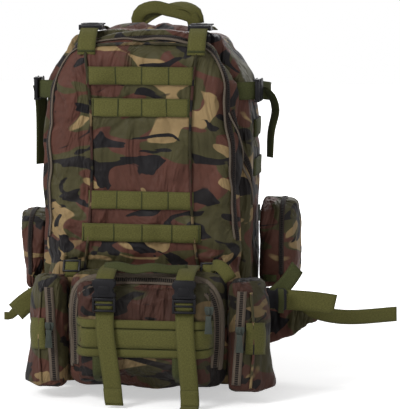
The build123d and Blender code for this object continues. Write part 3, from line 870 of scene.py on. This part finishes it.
# %% Waist pack zips and band
lid_tree = surface(waist_lid, waist_bag)
u_path = [(-83, -152, 48), (-86, -152, 100), (-84, -152, 138), (-74, -152, 160), (-52, -152, 169),
          (SHIFT, -152, 170), (80, -152, 169), (102, -152, 160), (112, -152, 138), (114, -152, 100),
          (111, -152, 48)]
seam("waist_zip", u_path, None, 14, brown_zip, "waist_pack", lay=lid_tree, lift=1.8, thick=1.4, crown=1.2,
     relax=4)
seam("waist_zip_piping", [(SHIFT + (x - SHIFT) * 1.07, y, 95 + (z - 95) * 1.075) for x, y, z in u_path],
     None, 6.5, piping_cloth, "waist_pack", lay=lid_tree, lift=3.0, thick=2.6, crown=1.8, relax=4)
band = tape("waist_band", [(-82, 0, 94), (SHIFT, 0, 94), (110, 0, 94)], (0, 0, 1), 50, olive_dark,
            "waist_pack", lay=lid_tree, lift=1.4, thick=1.4, rows=12)
band_tree = surface(band, waist_lid)
for part_name, level, wide, finish in (("middle", 94, 26, olive), ("top", 114, 11, olive),
                                       ("low", 74, 11, olive)):
    tape(f"waist_band_{part_name}", [(-81, 0, level), (SHIFT, 0, level), (109, 0, level)], (0, 0, 1), wide,
         finish, "waist_pack", lay=band_tree, lift=1.0, thick=1.2, bulge=0.8, tuck=(0, 0.3, 0.5, 0.7, 1))
for k, at in enumerate((-80, -52, -14, 24, 62, 94, 108)):
    tape(f"waist_band_tack_{k}", [(at, 0, 81.5), (at, 0, 94), (at, 0, 106.5)], (1, 0, 0), 2.4, thread,
         "waist_pack", lay=band_tree, lift=2.2, thick=0.9, rows=2)
for sign, side in SIDES:
    wing_tree = surface(wings[sign])
    zip_x = SHIFT + sign * 132.4
    seam(f"wing_zip_{side}", [(zip_x - sign * 6, 0, 28), (zip_x - sign * 2, 0, 90),
                              (zip_x + sign * 2, 0, 158)], (1, 0, 0), 13, brown_zip, "waist_pack",
         lay=wing_tree, lift=1.4, thick=1.2, crown=1.0)
    seam(f"wing_seam_{side}", [(zip_x + sign * 14, 0, 24), (zip_x + sign * 18, 0, 90),
                               (zip_x + sign * 14, 0, 156)], (1, 0, 0), 3.5, camo_side_shaded, "waist_pack",
         lay=wing_tree, lift=2.2, thick=1.8, crown=1.0)
    tape(f"wing_band_{side}", [(SHIFT + sign * 146, -145, 93), (SHIFT + sign * 158, -135, 92),
                               (SHIFT + sign * 169, -120, 90)], (0, 0, 1), 44, olive, "waist_pack",
         lay=wing_tree, lift=1.3, thick=1.4, out=(sign * 0.7, -0.7, 0), reach=0.05, rows=10)
print("waist pack zips done")

# %% [markdown]
# ## Buckles
# A side-release buckle has a flat hollow socket with a window at each side, and a
# prong half with a ladder for the strap. Both are built lying flat and then turned
# to their place with one matrix: X across the strap, Y along it, Z out of the pack.

# %% Buckle helpers
def placed(origin, across, along):
    """Matrix from a buckle's own axes to the pack's."""
    x = Vector(across).normalized()
    y = Vector(along).normalized()
    z = x.cross(y)
    turn = Matrix((x, y, z)).transposed().to_4x4()
    return Matrix.Translation(Vector(origin) * MM) @ turn


def plate(bm, corners, low, high, rounding=0.8):
    """Add one flat plate with softened edges to the bmesh, in millimetres."""
    verts = [bm.verts.new((x * MM, y * MM, low * MM)) for x, y in corners]
    face = bm.faces.new(verts)
    grown = bmesh.ops.extrude_face_region(bm, geom=[face])
    top = [v for v in grown["geom"] if isinstance(v, bmesh.types.BMVert)]
    bmesh.ops.translate(bm, verts=top, vec=(0, 0, (high - low) * MM))
    edges = list({e for v in verts + top for e in v.link_edges})
    bmesh.ops.bevel(bm, geom=edges, offset=rounding * MM, offset_type="OFFSET", segments=2, profile=0.5,
                    affect="EDGES", clamp_overlap=True, material=-1)


def mirror_points(points):
    """Close a half outline, given for positive X, across the middle."""
    return points + [(-x, y) for x, y in reversed(points)]


def plastic_piece(name, bm, where, body, nodes):
    bmesh.ops.recalc_face_normals(bm, faces=bm.faces)
    bmesh.ops.transform(bm, matrix=where, verts=bm.verts)
    mesh = bpy.data.meshes.new(name)
    bm.to_mesh(mesh)
    bm.free()
    piece = linked(name, mesh, black_plastic, body, nodes)
    edges = piece.modifiers.new("edge_split", "EDGE_SPLIT")
    edges.split_angle = math.radians(50)
    return piece


def socket(name, where, body, nodes, long=25.0, thick=9.0):
    """The hollow half: two plates with side windows, side walls and a webbing bar."""
    bm = bmesh.new()
    shape = mirror_points([(16, 0.4), (16, 4.5), (12.8, 7.5), (12.8, 13), (16, 16.5), (16, long - 4),
                           (13, long)])
    plate(bm, shape, thick - 2.0, thick)
    plate(bm, shape, 0, 1.6, 0.5)
    plate(bm, mirror_points([(13.5, long - 8), (13.5, long - 1)]), 1.4, thick - 1.8, 0.6)
    plate(bm, [(13.4, 0.6), (15.6, 0.6), (15.6, 4.5), (13.4, 6)], 1.2, thick - 1.6, 0.4)
    plate(bm, [(-15.6, 0.6), (-13.4, 0.6), (-13.4, 6), (-15.6, 4.5)], 1.2, thick - 1.6, 0.4)
    plate(bm, mirror_points([(7.5, 4), (8.5, 10), (6.5, 16)]), thick - 0.5, thick + 0.6, 0.5)
    return plastic_piece(name, bm, where, body, nodes)


def prong(name, where, body, nodes, low=0.0, thick=6.0, body_long=20.0, prong_low=2.0):
    """The prong half: a ladder with three bars, and two sprung arms that reach into the socket."""
    bm = bmesh.new()
    plate(bm, [(-16, -body_long), (-12.8, -body_long), (-12.8, -0.4), (-16, -0.4)], low, low + thick)
    plate(bm, [(12.8, -body_long), (16, -body_long), (16, -0.4), (12.8, -0.4)], low, low + thick)
    plate(bm, [(-13.5, -5), (13.5, -5), (13.5, -0.4), (-13.5, -0.4)], low + 0.3, low + thick, 1.0)
    for bar in (-11.5, -body_long):
        plate(bm, [(-13.5, bar), (13.5, bar), (13.5, bar + 3.2), (-13.5, bar + 3.2)], low + 1.5,
              low + thick - 0.4, 1.0)
    for side in (-1, 1):
        arm = [(side * 9.4, -3), (side * 4.6, -3), (side * 4.6, 6), (side * 5.5, 11.6), (side * 9.4, 9)]
        plate(bm, arm if side < 0 else arm[::-1], low + prong_low, low + prong_low + 2.4, 0.4)
    return plastic_piece(name, bm, where, body, nodes)


print("buckle helpers ready")

# %% [markdown]
# ### Front buckles and tails
# The front buckles hang on short straps from the waist pack's top. Below each one a
# tail runs down the front, over the band and out on the ground, where its end is
# folded and sewn.

# %% Front buckles and tails
CLIP_LEVEL = 152.0           # where the two halves meet
BUCKLE_BACK = -170.6         # the buckles' back plates, clear of the waist pack's front
CLIP_APART = 55.0            # half the distance between the buckles
front_tree = surface(waist_lid, waist_bag)
for sign, side in SIDES:
    x = SHIFT + 5 + sign * CLIP_APART
    standing = placed((x, BUCKLE_BACK, CLIP_LEVEL), (1, 0, 0), (0, 0, 1))
    socket(f"front_socket_{side}", standing, "waist_pack", (f"clip_socket_{side}",))
    prong(f"front_prong_{side}", standing, f"clip_half_{side}", (f"clip_prong_{side}",), low=1.4, thick=6.6,
          prong_low=1.4)
    tape(f"front_top_strap_{side}", [(x, -90, 184.5), (x, -118, 185.5), (x, -146, 184), (x, -164, 178),
                                     (x, -172, 171), (x, -173.5, 163)], (1, 0, 0), 25, olive, "waist_pack",
         (f"clip_strap_{side}",), out=(0, -1, 1), lift=0.0)
    end = 16.0 if sign > 0 else -2.0
    slant = 9.0 if sign > 0 else 14.0
    path = [(x, -169.9, 133), (x, -169.9, 118), (x + 1, -172.4, 100), (x + slant * 0.5, -174, 60),
            (x + slant * 0.8, -173, 26), (x + slant * 0.9, -174, 12), (x + slant, -177 - end * 0.3, 5),
            (x + slant, -179 - end, 3)]
    tape(f"front_tail_{side}", path, (1, 0, 0), 25, olive, "waist_pack", (f"strap_tail_{side}",), lift=0.0,
         out=(0, -1, 0.6))
    fold = path[-4:-1]
    tape(f"front_tail_hem_{side}", fold, (1, 0, 0), 25.6, olive, "waist_pack", lift=1.3, thick=1.6,
         out=(0, -1, 0.6))
    wrap = [(x, -174.5, 147), (x, -175.6, 142), (x, -174, 137.5), (x, -172.6, 134.5)]
    tape(f"front_ladder_wrap_{side}", wrap, (1, 0, 0), 24, olive, f"clip_half_{side}", lift=0.0, thick=1.4,
         out=(0, -1, 0.4))
    tape(f"front_strap_low_{side}", [(x - 7, 0, 104), (x - 7, 0, 70), (x - 7, 0, 28)], (1, 0, 0), 22,
         olive_dark, "waist_pack", lay=front_tree, lift=2.6, thick=1.4)
print("front buckles done")

# %% [markdown]
# ## Buckles on top and at the sides
# Two straps run over the top and one along each side. Their sockets stay with the
# main compartment and their prongs go with the front, so the two halves part as
# soon as the front folds down.

# %% Top buckles
CLASP = -34.0                # where the two halves of a top buckle meet
for sign, side in SIDES:
    x = sign * 77
    lying = placed((x, CLASP, TALL + 3), (1, 0, 0), (0, 1, 0))
    socket(f"top_buckle_socket_{side}", lying, "pack", (f"top_socket_{side}",), long=24)
    prong(f"top_buckle_prong_{side}", lying, "front_flap", (f"top_prong_{side}",), low=0.3, thick=7.4,
          body_long=16, prong_low=1.8)
    tape(f"top_strap_over_{side}", [(x, -16, TALL + 5), (x, 0, TALL + 6), (x, 22, TALL + 4),
                                    (x, 40, TALL + 1), (x, 52, TALL - 0.5)], (1, 0, 0), 25, olive, "pack",
         (f"top_strap_{side}",), out=(0, 0, 1), lift=0.0)
    tape(f"front_drop_strap_{side}", [(x, -46, TALL + 6), (x, -56, TALL + 3), (x, -66, TALL - 5),
                                      (x, -73, TALL - 14), (x, -77, TALL - 22),
                                      (x * 0.995, -79, TALL - 29)], (1, 0, 0), 25, olive, "front_flap",
         (f"front_drop_{side}",), out=(0, -1, 1), lift=0.0)
    tape(f"front_drop_tack_{side}", [(x - 12, -79.4, TALL - 24), (x, -79.4, TALL - 24),
                                     (x + 12, -79.4, TALL - 24)], (0, 0, 1), 3, thread, "front_flap",
         lift=0.0, thick=0.9, rows=2)
print("top buckles done")

# %% [markdown]
# ### Side buckles
# These are the same two halves, turned on edge at the widest part of the top. The
# strap behind each one is slack, so it bows outwards, and its end hangs down.

# %% Side buckles
SIDE_LEVEL = 425.0
for sign, side in SIDES:
    upright = placed((sign * (HALF - 3), CLASP + 10, SIDE_LEVEL), (0, 0, -sign), (0, 1, 0))
    socket(f"side_buckle_socket_{side}", upright, "pack", (f"side_socket_{side}",), long=24)
    prong(f"side_buckle_prong_{side}", upright, "front_flap", (f"side_prong_{side}",), low=0.5, thick=7.4,
          body_long=16, prong_low=2.0)
    tape(f"side_anchor_strap_{side}", [(sign * 122, -46, SIDE_LEVEL), (sign * 137, -42, SIDE_LEVEL),
                                       (sign * 150, -35, SIDE_LEVEL), (sign * 157, -27, SIDE_LEVEL)],
         (0, 0, 1), 25, olive_dark, "front_flap", (f"side_anchor_{side}",), out=(sign, -1, 0), lift=0.0)
    tape(f"side_loop_strap_{side}", [(sign * 157, -4, SIDE_LEVEL), (sign * 160, 8, SIDE_LEVEL - 2),
                                     (sign * 167, 20, SIDE_LEVEL - 4), (sign * 166, 36, SIDE_LEVEL - 6),
                                     (sign * 152, 52, SIDE_LEVEL - 6)], (0, 0, 1), 25, olive_dark, "pack",
         (f"side_loop_{side}",), out=(sign, 0, 0), lift=0.0)
    far, hang = (14, 98) if sign > 0 else (-5, 112)
    tape(f"side_tail_{side}", [(sign * 160, 0, SIDE_LEVEL + 2), (sign * (162 + far * 0.6), 5,
                                                                 SIDE_LEVEL - 8),
                               (sign * (163 + far), 8, SIDE_LEVEL - 30), (sign * (162 + far * 0.6), 12,
                                                                          SIDE_LEVEL - 62),
                               (sign * (163 + far * 0.4), 14, SIDE_LEVEL - hang)], (sign * 0.55, -0.8, 0),
         lambda t: 24 - 7 * t, olive_dark, "pack", out=(sign, 0.6, 0), lift=0.0)
print("side buckles done")

# %% [markdown]
# ## Carry handle
# A loop of webbing that stands on the top and has taken a twist, so it shows its
# face at one end and its edge at the other.

# %% Carry handle
handle_line = [(-26, 70, TALL + 1), (-29, 69, TALL + 14), (-22, 68, TALL + 26), (-4, 69, TALL + 31),
               (14, 70, TALL + 27), (32, 70, TALL + 23), (50, 70, TALL + 16), (54, 70, TALL + 1)]
tape("carry_loop", handle_line, None, 19, olive, "handle", ("carry_handle",), lift=0.0, thick=1.8,
     out=(0.1, -1, 0.45))
back_line = [(-24, 74, TALL + 8), (-6, 76, TALL + 20), (18, 78, TALL + 30), (38, 77, TALL + 32),
             (54, 74, TALL + 24), (58, 72, TALL + 8)]
tape("carry_loop_twist", back_line, None, 18, olive, "handle", lift=0.0, thick=1.8, out=(0, -0.7, 1))
print("handle done")

# %% [markdown]
# ## Side pouches
# Each pouch is one swelled bag cut in two along its zip: the half on the pack's
# side, and the cover that swings open. The left pouch is flatter, as it is empty.

# %% Side pouches
def cut_part(mesh, place, facing, name):
    part = mesh.copy()
    part.name = name
    return opened(part, place, facing)


pouch_corners = [(6, 146), (16, 138), (82, 138), (93, 148), (94, 236), (84, 258), (60, 267), (36, 266),
                 (12, 250), (6, 232)]
pouch_block = block(pouch_corners, "x", 155, 206, rounding=0.010)
pouch_mesh = stuffed("side_pouch", pouch_block, voxel=0.005, cap=0.010,
                     box=((153.5, 2, 134), (221, 98, 272)), crease=0.0030, size=0.045, seed=21.0)
for sign, side in ((1, "right"), (-1, "left")):
    whole = pouch_mesh.copy() if sign > 0 else mirrored(pouch_mesh)
    deep = 1.0 if sign > 0 else 38 / 58
    for vertex in whole.vertices:
        out = (abs(vertex.co.x) - 0.156) * deep
        lean = 0.10 * (vertex.co.z - 0.20) if sign < 0 else 0.0
        vertex.co.x = sign * (0.156 + out + max(lean, -0.004) * (out > 0.012))
        if sign < 0:
            vertex.co.z = 0.128 + (vertex.co.z - 0.136) * 118 / 132
    half_way = 156 + 30 * deep
    # both pouches wear a darker copy of the cloth: painted shade
    finish = camo_low_shaded if sign > 0 else camo_side_shaded
    tray = linked(f"pouch_back_{side}", cut_part(whole, (sign * (half_way - 0.6), 0, 0), (sign, 0, 0),
                                                 "tray"), finish, f"pouch_{side}", (f"pouch_tray_{side}",))
    cover = linked(f"pouch_front_{side}", cut_part(whole, (sign * (half_way + 0.6), 0, 0), (-sign, 0, 0),
                                                   "cover"), finish, f"pouch_{side}_cover",
                   (f"pouch_lid_{side}",))
    walled(tray, 2.0)
    walled(cover, 2.0)
    pouch_tree = surface(tray, cover)
    low, high = (142, 268) if sign > 0 else (134, 244)
    x = sign * (half_way + 1)
    edge = [(x, 3, low + 16), (x, 3, (low + high) / 2), (x, 5, high - 26), (x, 22, high - 4),
            (x, 50, high + 2), (x, 78, high - 4), (x, 95, high - 24)]
    seam(f"pouch_zip_{side}", edge, (1, 0, 0), 9, dark_zip, f"pouch_{side}", lay=pouch_tree, lift=1.2,
         thick=1.0, crown=0.8, centre=(x, 50, (low + high) / 2), reach=0.04, relax=3)
    tape(f"pouch_band_{side}", [(sign * 160, 0, low + 13), (sign * (half_way - 6), 0, low + 13)], (0, 0, 1),
         10, olive_dark, f"pouch_{side}", lay=pouch_tree, lift=1.4, thick=1.2, out=(0, -1, 0), reach=0.05)
print("side pouches done")

# %% [markdown]
# ## Hip belt and side straps
# A padded wing stands out at each side of the base, with a webbing end. Above it, a
# strap cut at a slant carries half a buckle on the right side.

# %% Hip belt wings
hip_corners = [(155, 46), (155, 123), (226, 118), (237, 84), (197, 58)]
hip_block = block(hip_corners, "y", 70.5, 81.5, rounding=0.003)
hip_mesh = stuffed("hip_wing", hip_block, voxel=0.004, cap=0.005, box=((155.5, 66, 40), (245, 83, 128)),
                   crease=0.0018, size=0.04, seed=25.0)
for sign, side, long in ((1, "right", 126), (-1, "left", 30)):
    hip = linked(f"hip_pad_{side}", hip_mesh.copy() if sign > 0 else mirrored(hip_mesh), camo_low_shaded,
                 f"hip_{side}", (f"hip_wing_{side}",))
    start = sign * 212
    folded = Matrix.Identity(4)
    if sign < 0:
        pivot = Matrix.Translation(Vector((-155.4, 83, 0)) * MM)
        folded = pivot @ Matrix.Rotation(math.radians(-65), 4, "Z") @ pivot.inverted()
        hip.data.transform(folded)
    line = [(start, 66, 103), (start + sign * long * 0.3, 65, 94), (start + sign * long * 0.6, 66, 92),
            (start + sign * (long + 10), 67, 98)]
    end_web = tape(f"hip_webbing_{side}", line, (0, -0.3, 1), 23, olive, f"hip_{side}",
                   (f"hip_end_{side}",), out=(0, -1, 0), lift=0.0)
    end_web.data.transform(folded)
tape("hip_webbing_loose_left", [(-190, 132, 112), (-196, 120, 108), (-204, 100, 100), (-214, 84, 88),
                                (-222, 76, 80), (-231, 72, 80)], None, lambda t: 20 - 8 * t, olive,
     "hip_left", lift=0.0, out=(0, -1, 0.7))
print("hip belt done")

# %% [markdown]
# ### Side straps
# The strap at the right ends in half a buckle with a keeper, and a spare end stands
# up behind it. The one at the left is short and droops. Both are free tapes, as
# nothing lies under them.

# %% Side straps
right_course = ((0, 134), (124 * 0.35, 133), (124 * 0.7, 131), (120, 127))   # how far out, and how high
left_course = ((0, 134), (13, 128), (27, 118), (40, 106))
for sign, side, course in ((1, "right", right_course), (-1, "left", left_course)):
    foot = sign * 148
    line = [(foot + sign * far, y, z) for (far, z), y in zip(course, (-42.5, -42, -43, -42))]
    tape(f"side_strap_{side}", line, (0.22, 0, 1) if sign > 0 else None, 29, olive, f"side_strap_{side}",
         (f"side_stub_{side}",), lift=0.0)
socket("side_strap_buckle", placed((170, -46, 133), (0, 0, 1), (1, 0, 0)), "side_strap_right",
       ("stub_buckle",), long=30, thick=8)
tape("side_strap_keeper", [(193, -56.5, 116), (194, -57.5, 133), (193, -56.5, 150)], (1, 0, 0), 8,
     olive_dark, "side_strap_right", lift=0.0)
tape("side_strap_up", [(182, -44, 140), (196, -42, 152), (208, -40, 168), (214, -36, 178)], (0.5, 0, -0.5),
     22, olive_dark, "side_strap_right", lift=0.0)
print("side straps done")

# %% [markdown]
# ## Back pads and shoulder straps
# Two mesh-covered pads lie on the back. The shoulder straps are padded too, and a
# length of webbing runs from each one's foot to the base.

# %% Back pads and shoulder straps
pad_block = block([(22, 130), (110, 130), (110, 434), (22, 434)], "y", 96, 106, taper=0.96, rounding=0.005)
pad_skin = stuffed("back_pad", pad_block, voxel=0.006, cap=0.006, box=((18, 95.2, 122), (116, 112, 443)),
                   crease=0.0, seed=30.0)
for vertex in pad_skin.vertices:
    if vertex.co.y > 0.099:
        vertex.co.y -= 0.0028 * max(math.cos(2 * math.pi * vertex.co.z / 0.076), 0) ** 6
strap_block = bmesh.new()
strap_line = [(114.5, 466), (134, 442), (149, 395), (148, 330), (143, 250), (131, 168)]
strap_verts = []
for k, (y, z) in enumerate(strap_line):
    wide = (22, 27, 29, 29, 27, 22)[k]
    inner = 6.5 if 0 < k < 5 else 4.5
    strap_verts.append([strap_block.verts.new(((63 + dx) * MM, (y + dy) * MM, z * MM))
                        for dx, dy in ((-wide, -inner), (wide, -inner), (wide, inner), (-wide, inner))])
for ring_a, ring_b in zip(strap_verts, strap_verts[1:]):
    for k in range(4):
        strap_block.faces.new((ring_a[k], ring_a[(k + 1) % 4], ring_b[(k + 1) % 4], ring_b[k]))
strap_block.faces.new(strap_verts[0][::-1])
strap_block.faces.new(strap_verts[-1])
bmesh.ops.recalc_face_normals(strap_block, faces=strap_block.faces)
strap_skin = stuffed("shoulder_pad", strap_block, voxel=0.005, cap=0.005,
                     box=((30, 108, 158), (96, 160, 482)), crease=0.0012, size=0.05, seed=33.0)
for sign, side in ((1, "right"), (-1, "left")):
    pad = linked(f"back_cushion_{side}", pad_skin.copy() if sign > 0 else mirrored(pad_skin), pad_mesh,
                 "pack", (f"back_pad_{side}",))
    strap = linked(f"shoulder_pad_{side}", strap_skin.copy() if sign > 0 else mirrored(strap_skin),
                   camo_side_shaded, f"shoulder_{side}", (f"shoulder_strap_{side}",))
    strap_tree = surface(strap)
    tape(f"shoulder_webbing_{side}", [(sign * 63, 170, z) for z in (455, 400, 330, 250, 180)], (1, 0, 0),
         25, olive, f"shoulder_{side}", lay=strap_tree, out=(0, 1, 0), lift=1.6)
    lower = tape(f"lower_strap_{side}", [(sign * 63, 132, 172), (sign * 63, 128, 150),
                                         (sign * 63, 114, 108), (sign * 63, 102, 74), (sign * 63, 98, 56)],
                 (1, 0, 0), 25, olive, None, (f"lower_webbing_{side}",), out=(0, 1, 0), lift=0.0)
    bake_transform(lower)
print("back done")

# %% [markdown]
# ## Yoke
# The yoke is a padded bar that joins the shoulder straps to the back. It is swelled
# like the bags, only less, because its padding is thin and firm.

# %% Yoke
yoke_block = block([(-94, 451), (94, 451), (94, 477), (-94, 477)], "y", 96, 109, rounding=0.004)
yoke_skin = stuffed("yoke", yoke_block, voxel=0.005, cap=0.004, box=((-98, 95, 447), (98, 110, 481)),
                    crease=0.001)
yoke = linked("yoke_pad", yoke_skin, camo_side_shaded, "pack")


# %% [markdown]
# ## Sliders and pulls
# A slider is a small wedge with a bridge on it. A pull is a flat tab with a rounded
# foot and a hole, made from a ring and two plates, so that light falls through the
# hole. Each one is turned to face out of the cloth that it lies on.

# %% Sliders and pulls
def green_piece(name, bm, where, body, nodes):
    piece = plastic_piece(name, bm, where, body, nodes)
    piece.data.materials[0] = green_plastic
    return piece


def slider(name, where, body, nodes=()):
    bm = bmesh.new()
    plate(bm, mirror_points([(4.2, -6), (6.5, 1), (6.0, 6)]), 0, 2.4)
    plate(bm, mirror_points([(1.6, -4.5), (1.6, 4.5)]), 2.2, 5.0, 0.6)
    return green_piece(name, bm, where, body, nodes)


def pull(name, where, body, nodes, long=34.0, wide=11.0):
    """A tab from a narrow neck to a rounded foot with a hole through it."""
    bm = bmesh.new()
    half = wide / 2
    top = bmesh.ops.create_circle(bm, cap_ends=True, segments=16, radius=half * MM)
    bmesh.ops.translate(bm, verts=top["verts"], vec=(0, -(long - half) * MM, 0))
    disc = bm.faces[:]
    bmesh.ops.inset_region(bm, faces=disc, thickness=2.2 * MM)
    bmesh.ops.delete(bm, geom=disc, context="FACES_ONLY")
    ring = bmesh.ops.extrude_face_region(bm, geom=bm.faces[:])
    bmesh.ops.translate(bm, verts=[v for v in ring["geom"] if isinstance(v, bmesh.types.BMVert)],
                        vec=(0, 0, 2.0 * MM))
    plate(bm, mirror_points([(half * 0.98, -long + half * 1.7), (half * 0.70, -6), (half * 0.72, 0)]), 0.1,
          2.2, 0.5)
    plate(bm, mirror_points([(half * 0.45, -long + half * 3), (half * 0.35, -8)]), 2.0, 2.8, 0.3)
    return green_piece(name, bm, where, body, nodes)


front_facing = Matrix.Rotation(math.radians(90), 4, "X")
for sign, side in SIDES:
    x = SHIFT + sign * 132.4
    slider(f"wing_runner_{side}", Matrix.Translation(Vector((x, -142.3, 104)) * MM) @ front_facing,
           f"wing_slider_{side}_body", (f"wing_slider_{side}",))
    pull(f"wing_tab_{side}", Matrix.Translation(Vector((x, -147.9, 100)) * MM) @ front_facing,
         f"wing_pull_{side}_tab", (f"wing_pull_{side}",))
slider("waist_runner", Matrix.Translation(Vector((107, -165.8, 135)) * MM) @ front_facing, "waist_pack",
       ("waist_slider",))
pull("waist_tab", Matrix.Translation(Vector((107, -172.2, 129)) * MM) @ front_facing, "waist_pull_tab",
     ("waist_pull",))
side_facing = Matrix.Rotation(math.radians(90), 4, "Z") @ front_facing
pull("main_tab", Matrix.Translation(Vector((155.4, -5, 262)) * MM) @ side_facing, "main_pull_tab",
     ("main_pull",), 32, 11)
print("sliders and pulls done")

# %% [markdown]
# ## Webbing on top of the waist pack
# A loose strip of webbing joins the two buckle straps along the top edge, and a
# small ladder-lock with a loop of webbing ties each top corner to the pack.

# %% Waist pack's top webbing
tape("waist_carry_strip", [(-44, -128, 186), (-24, -136, 189), (0, -138, 185), (24, -137, 188),
                           (48, -132, 185), (72, -126, 185)], None, 14, olive_dark, "waist_pack", lift=0.0,
     thick=1.8, out=(0, -1, 0.9))
for sign, side, at in ((-1, "left", -95), (1, "right", 98)):
    where = placed((at, -99, 182), (1, 0, 0), (0, 0.6, 1))
    bm = bmesh.new()
    for low, high, wide in ((-9, -6, 10.5), (-1.5, 1.5, 10.5), (6, 9, 10.5)):
        plate(bm, [(-wide, low), (wide, low), (wide, high), (-wide, high)], 0, 3.2, 0.8)
    plate(bm, [(-12.5, -9), (-9.5, -9), (-9.5, 9), (-12.5, 9)], 0, 3.6, 0.8)
    plate(bm, [(9.5, -9), (12.5, -9), (12.5, 9), (9.5, 9)], 0, 3.6, 0.8)
    plastic_piece(f"ladder_lock_{side}", bm, where, "waist_pack", ())
    tape(f"ladder_web_{side}", [(at, -88, 189), (at, -97, 187), (at, -103, 178), (at, -104, 168)],
         (1, 0, 0), 18, olive, "waist_pack", lift=0.0, out=(0, -1, 0.3))
tape("ladder_web_loose", [(102, -98, 186), (112, -106, 188), (122, -112, 181), (130, -114, 170)], None, 18,
     olive, "waist_pack", lift=0.0, out=(0, -1, 0.6))
print("waist pack webbing done")
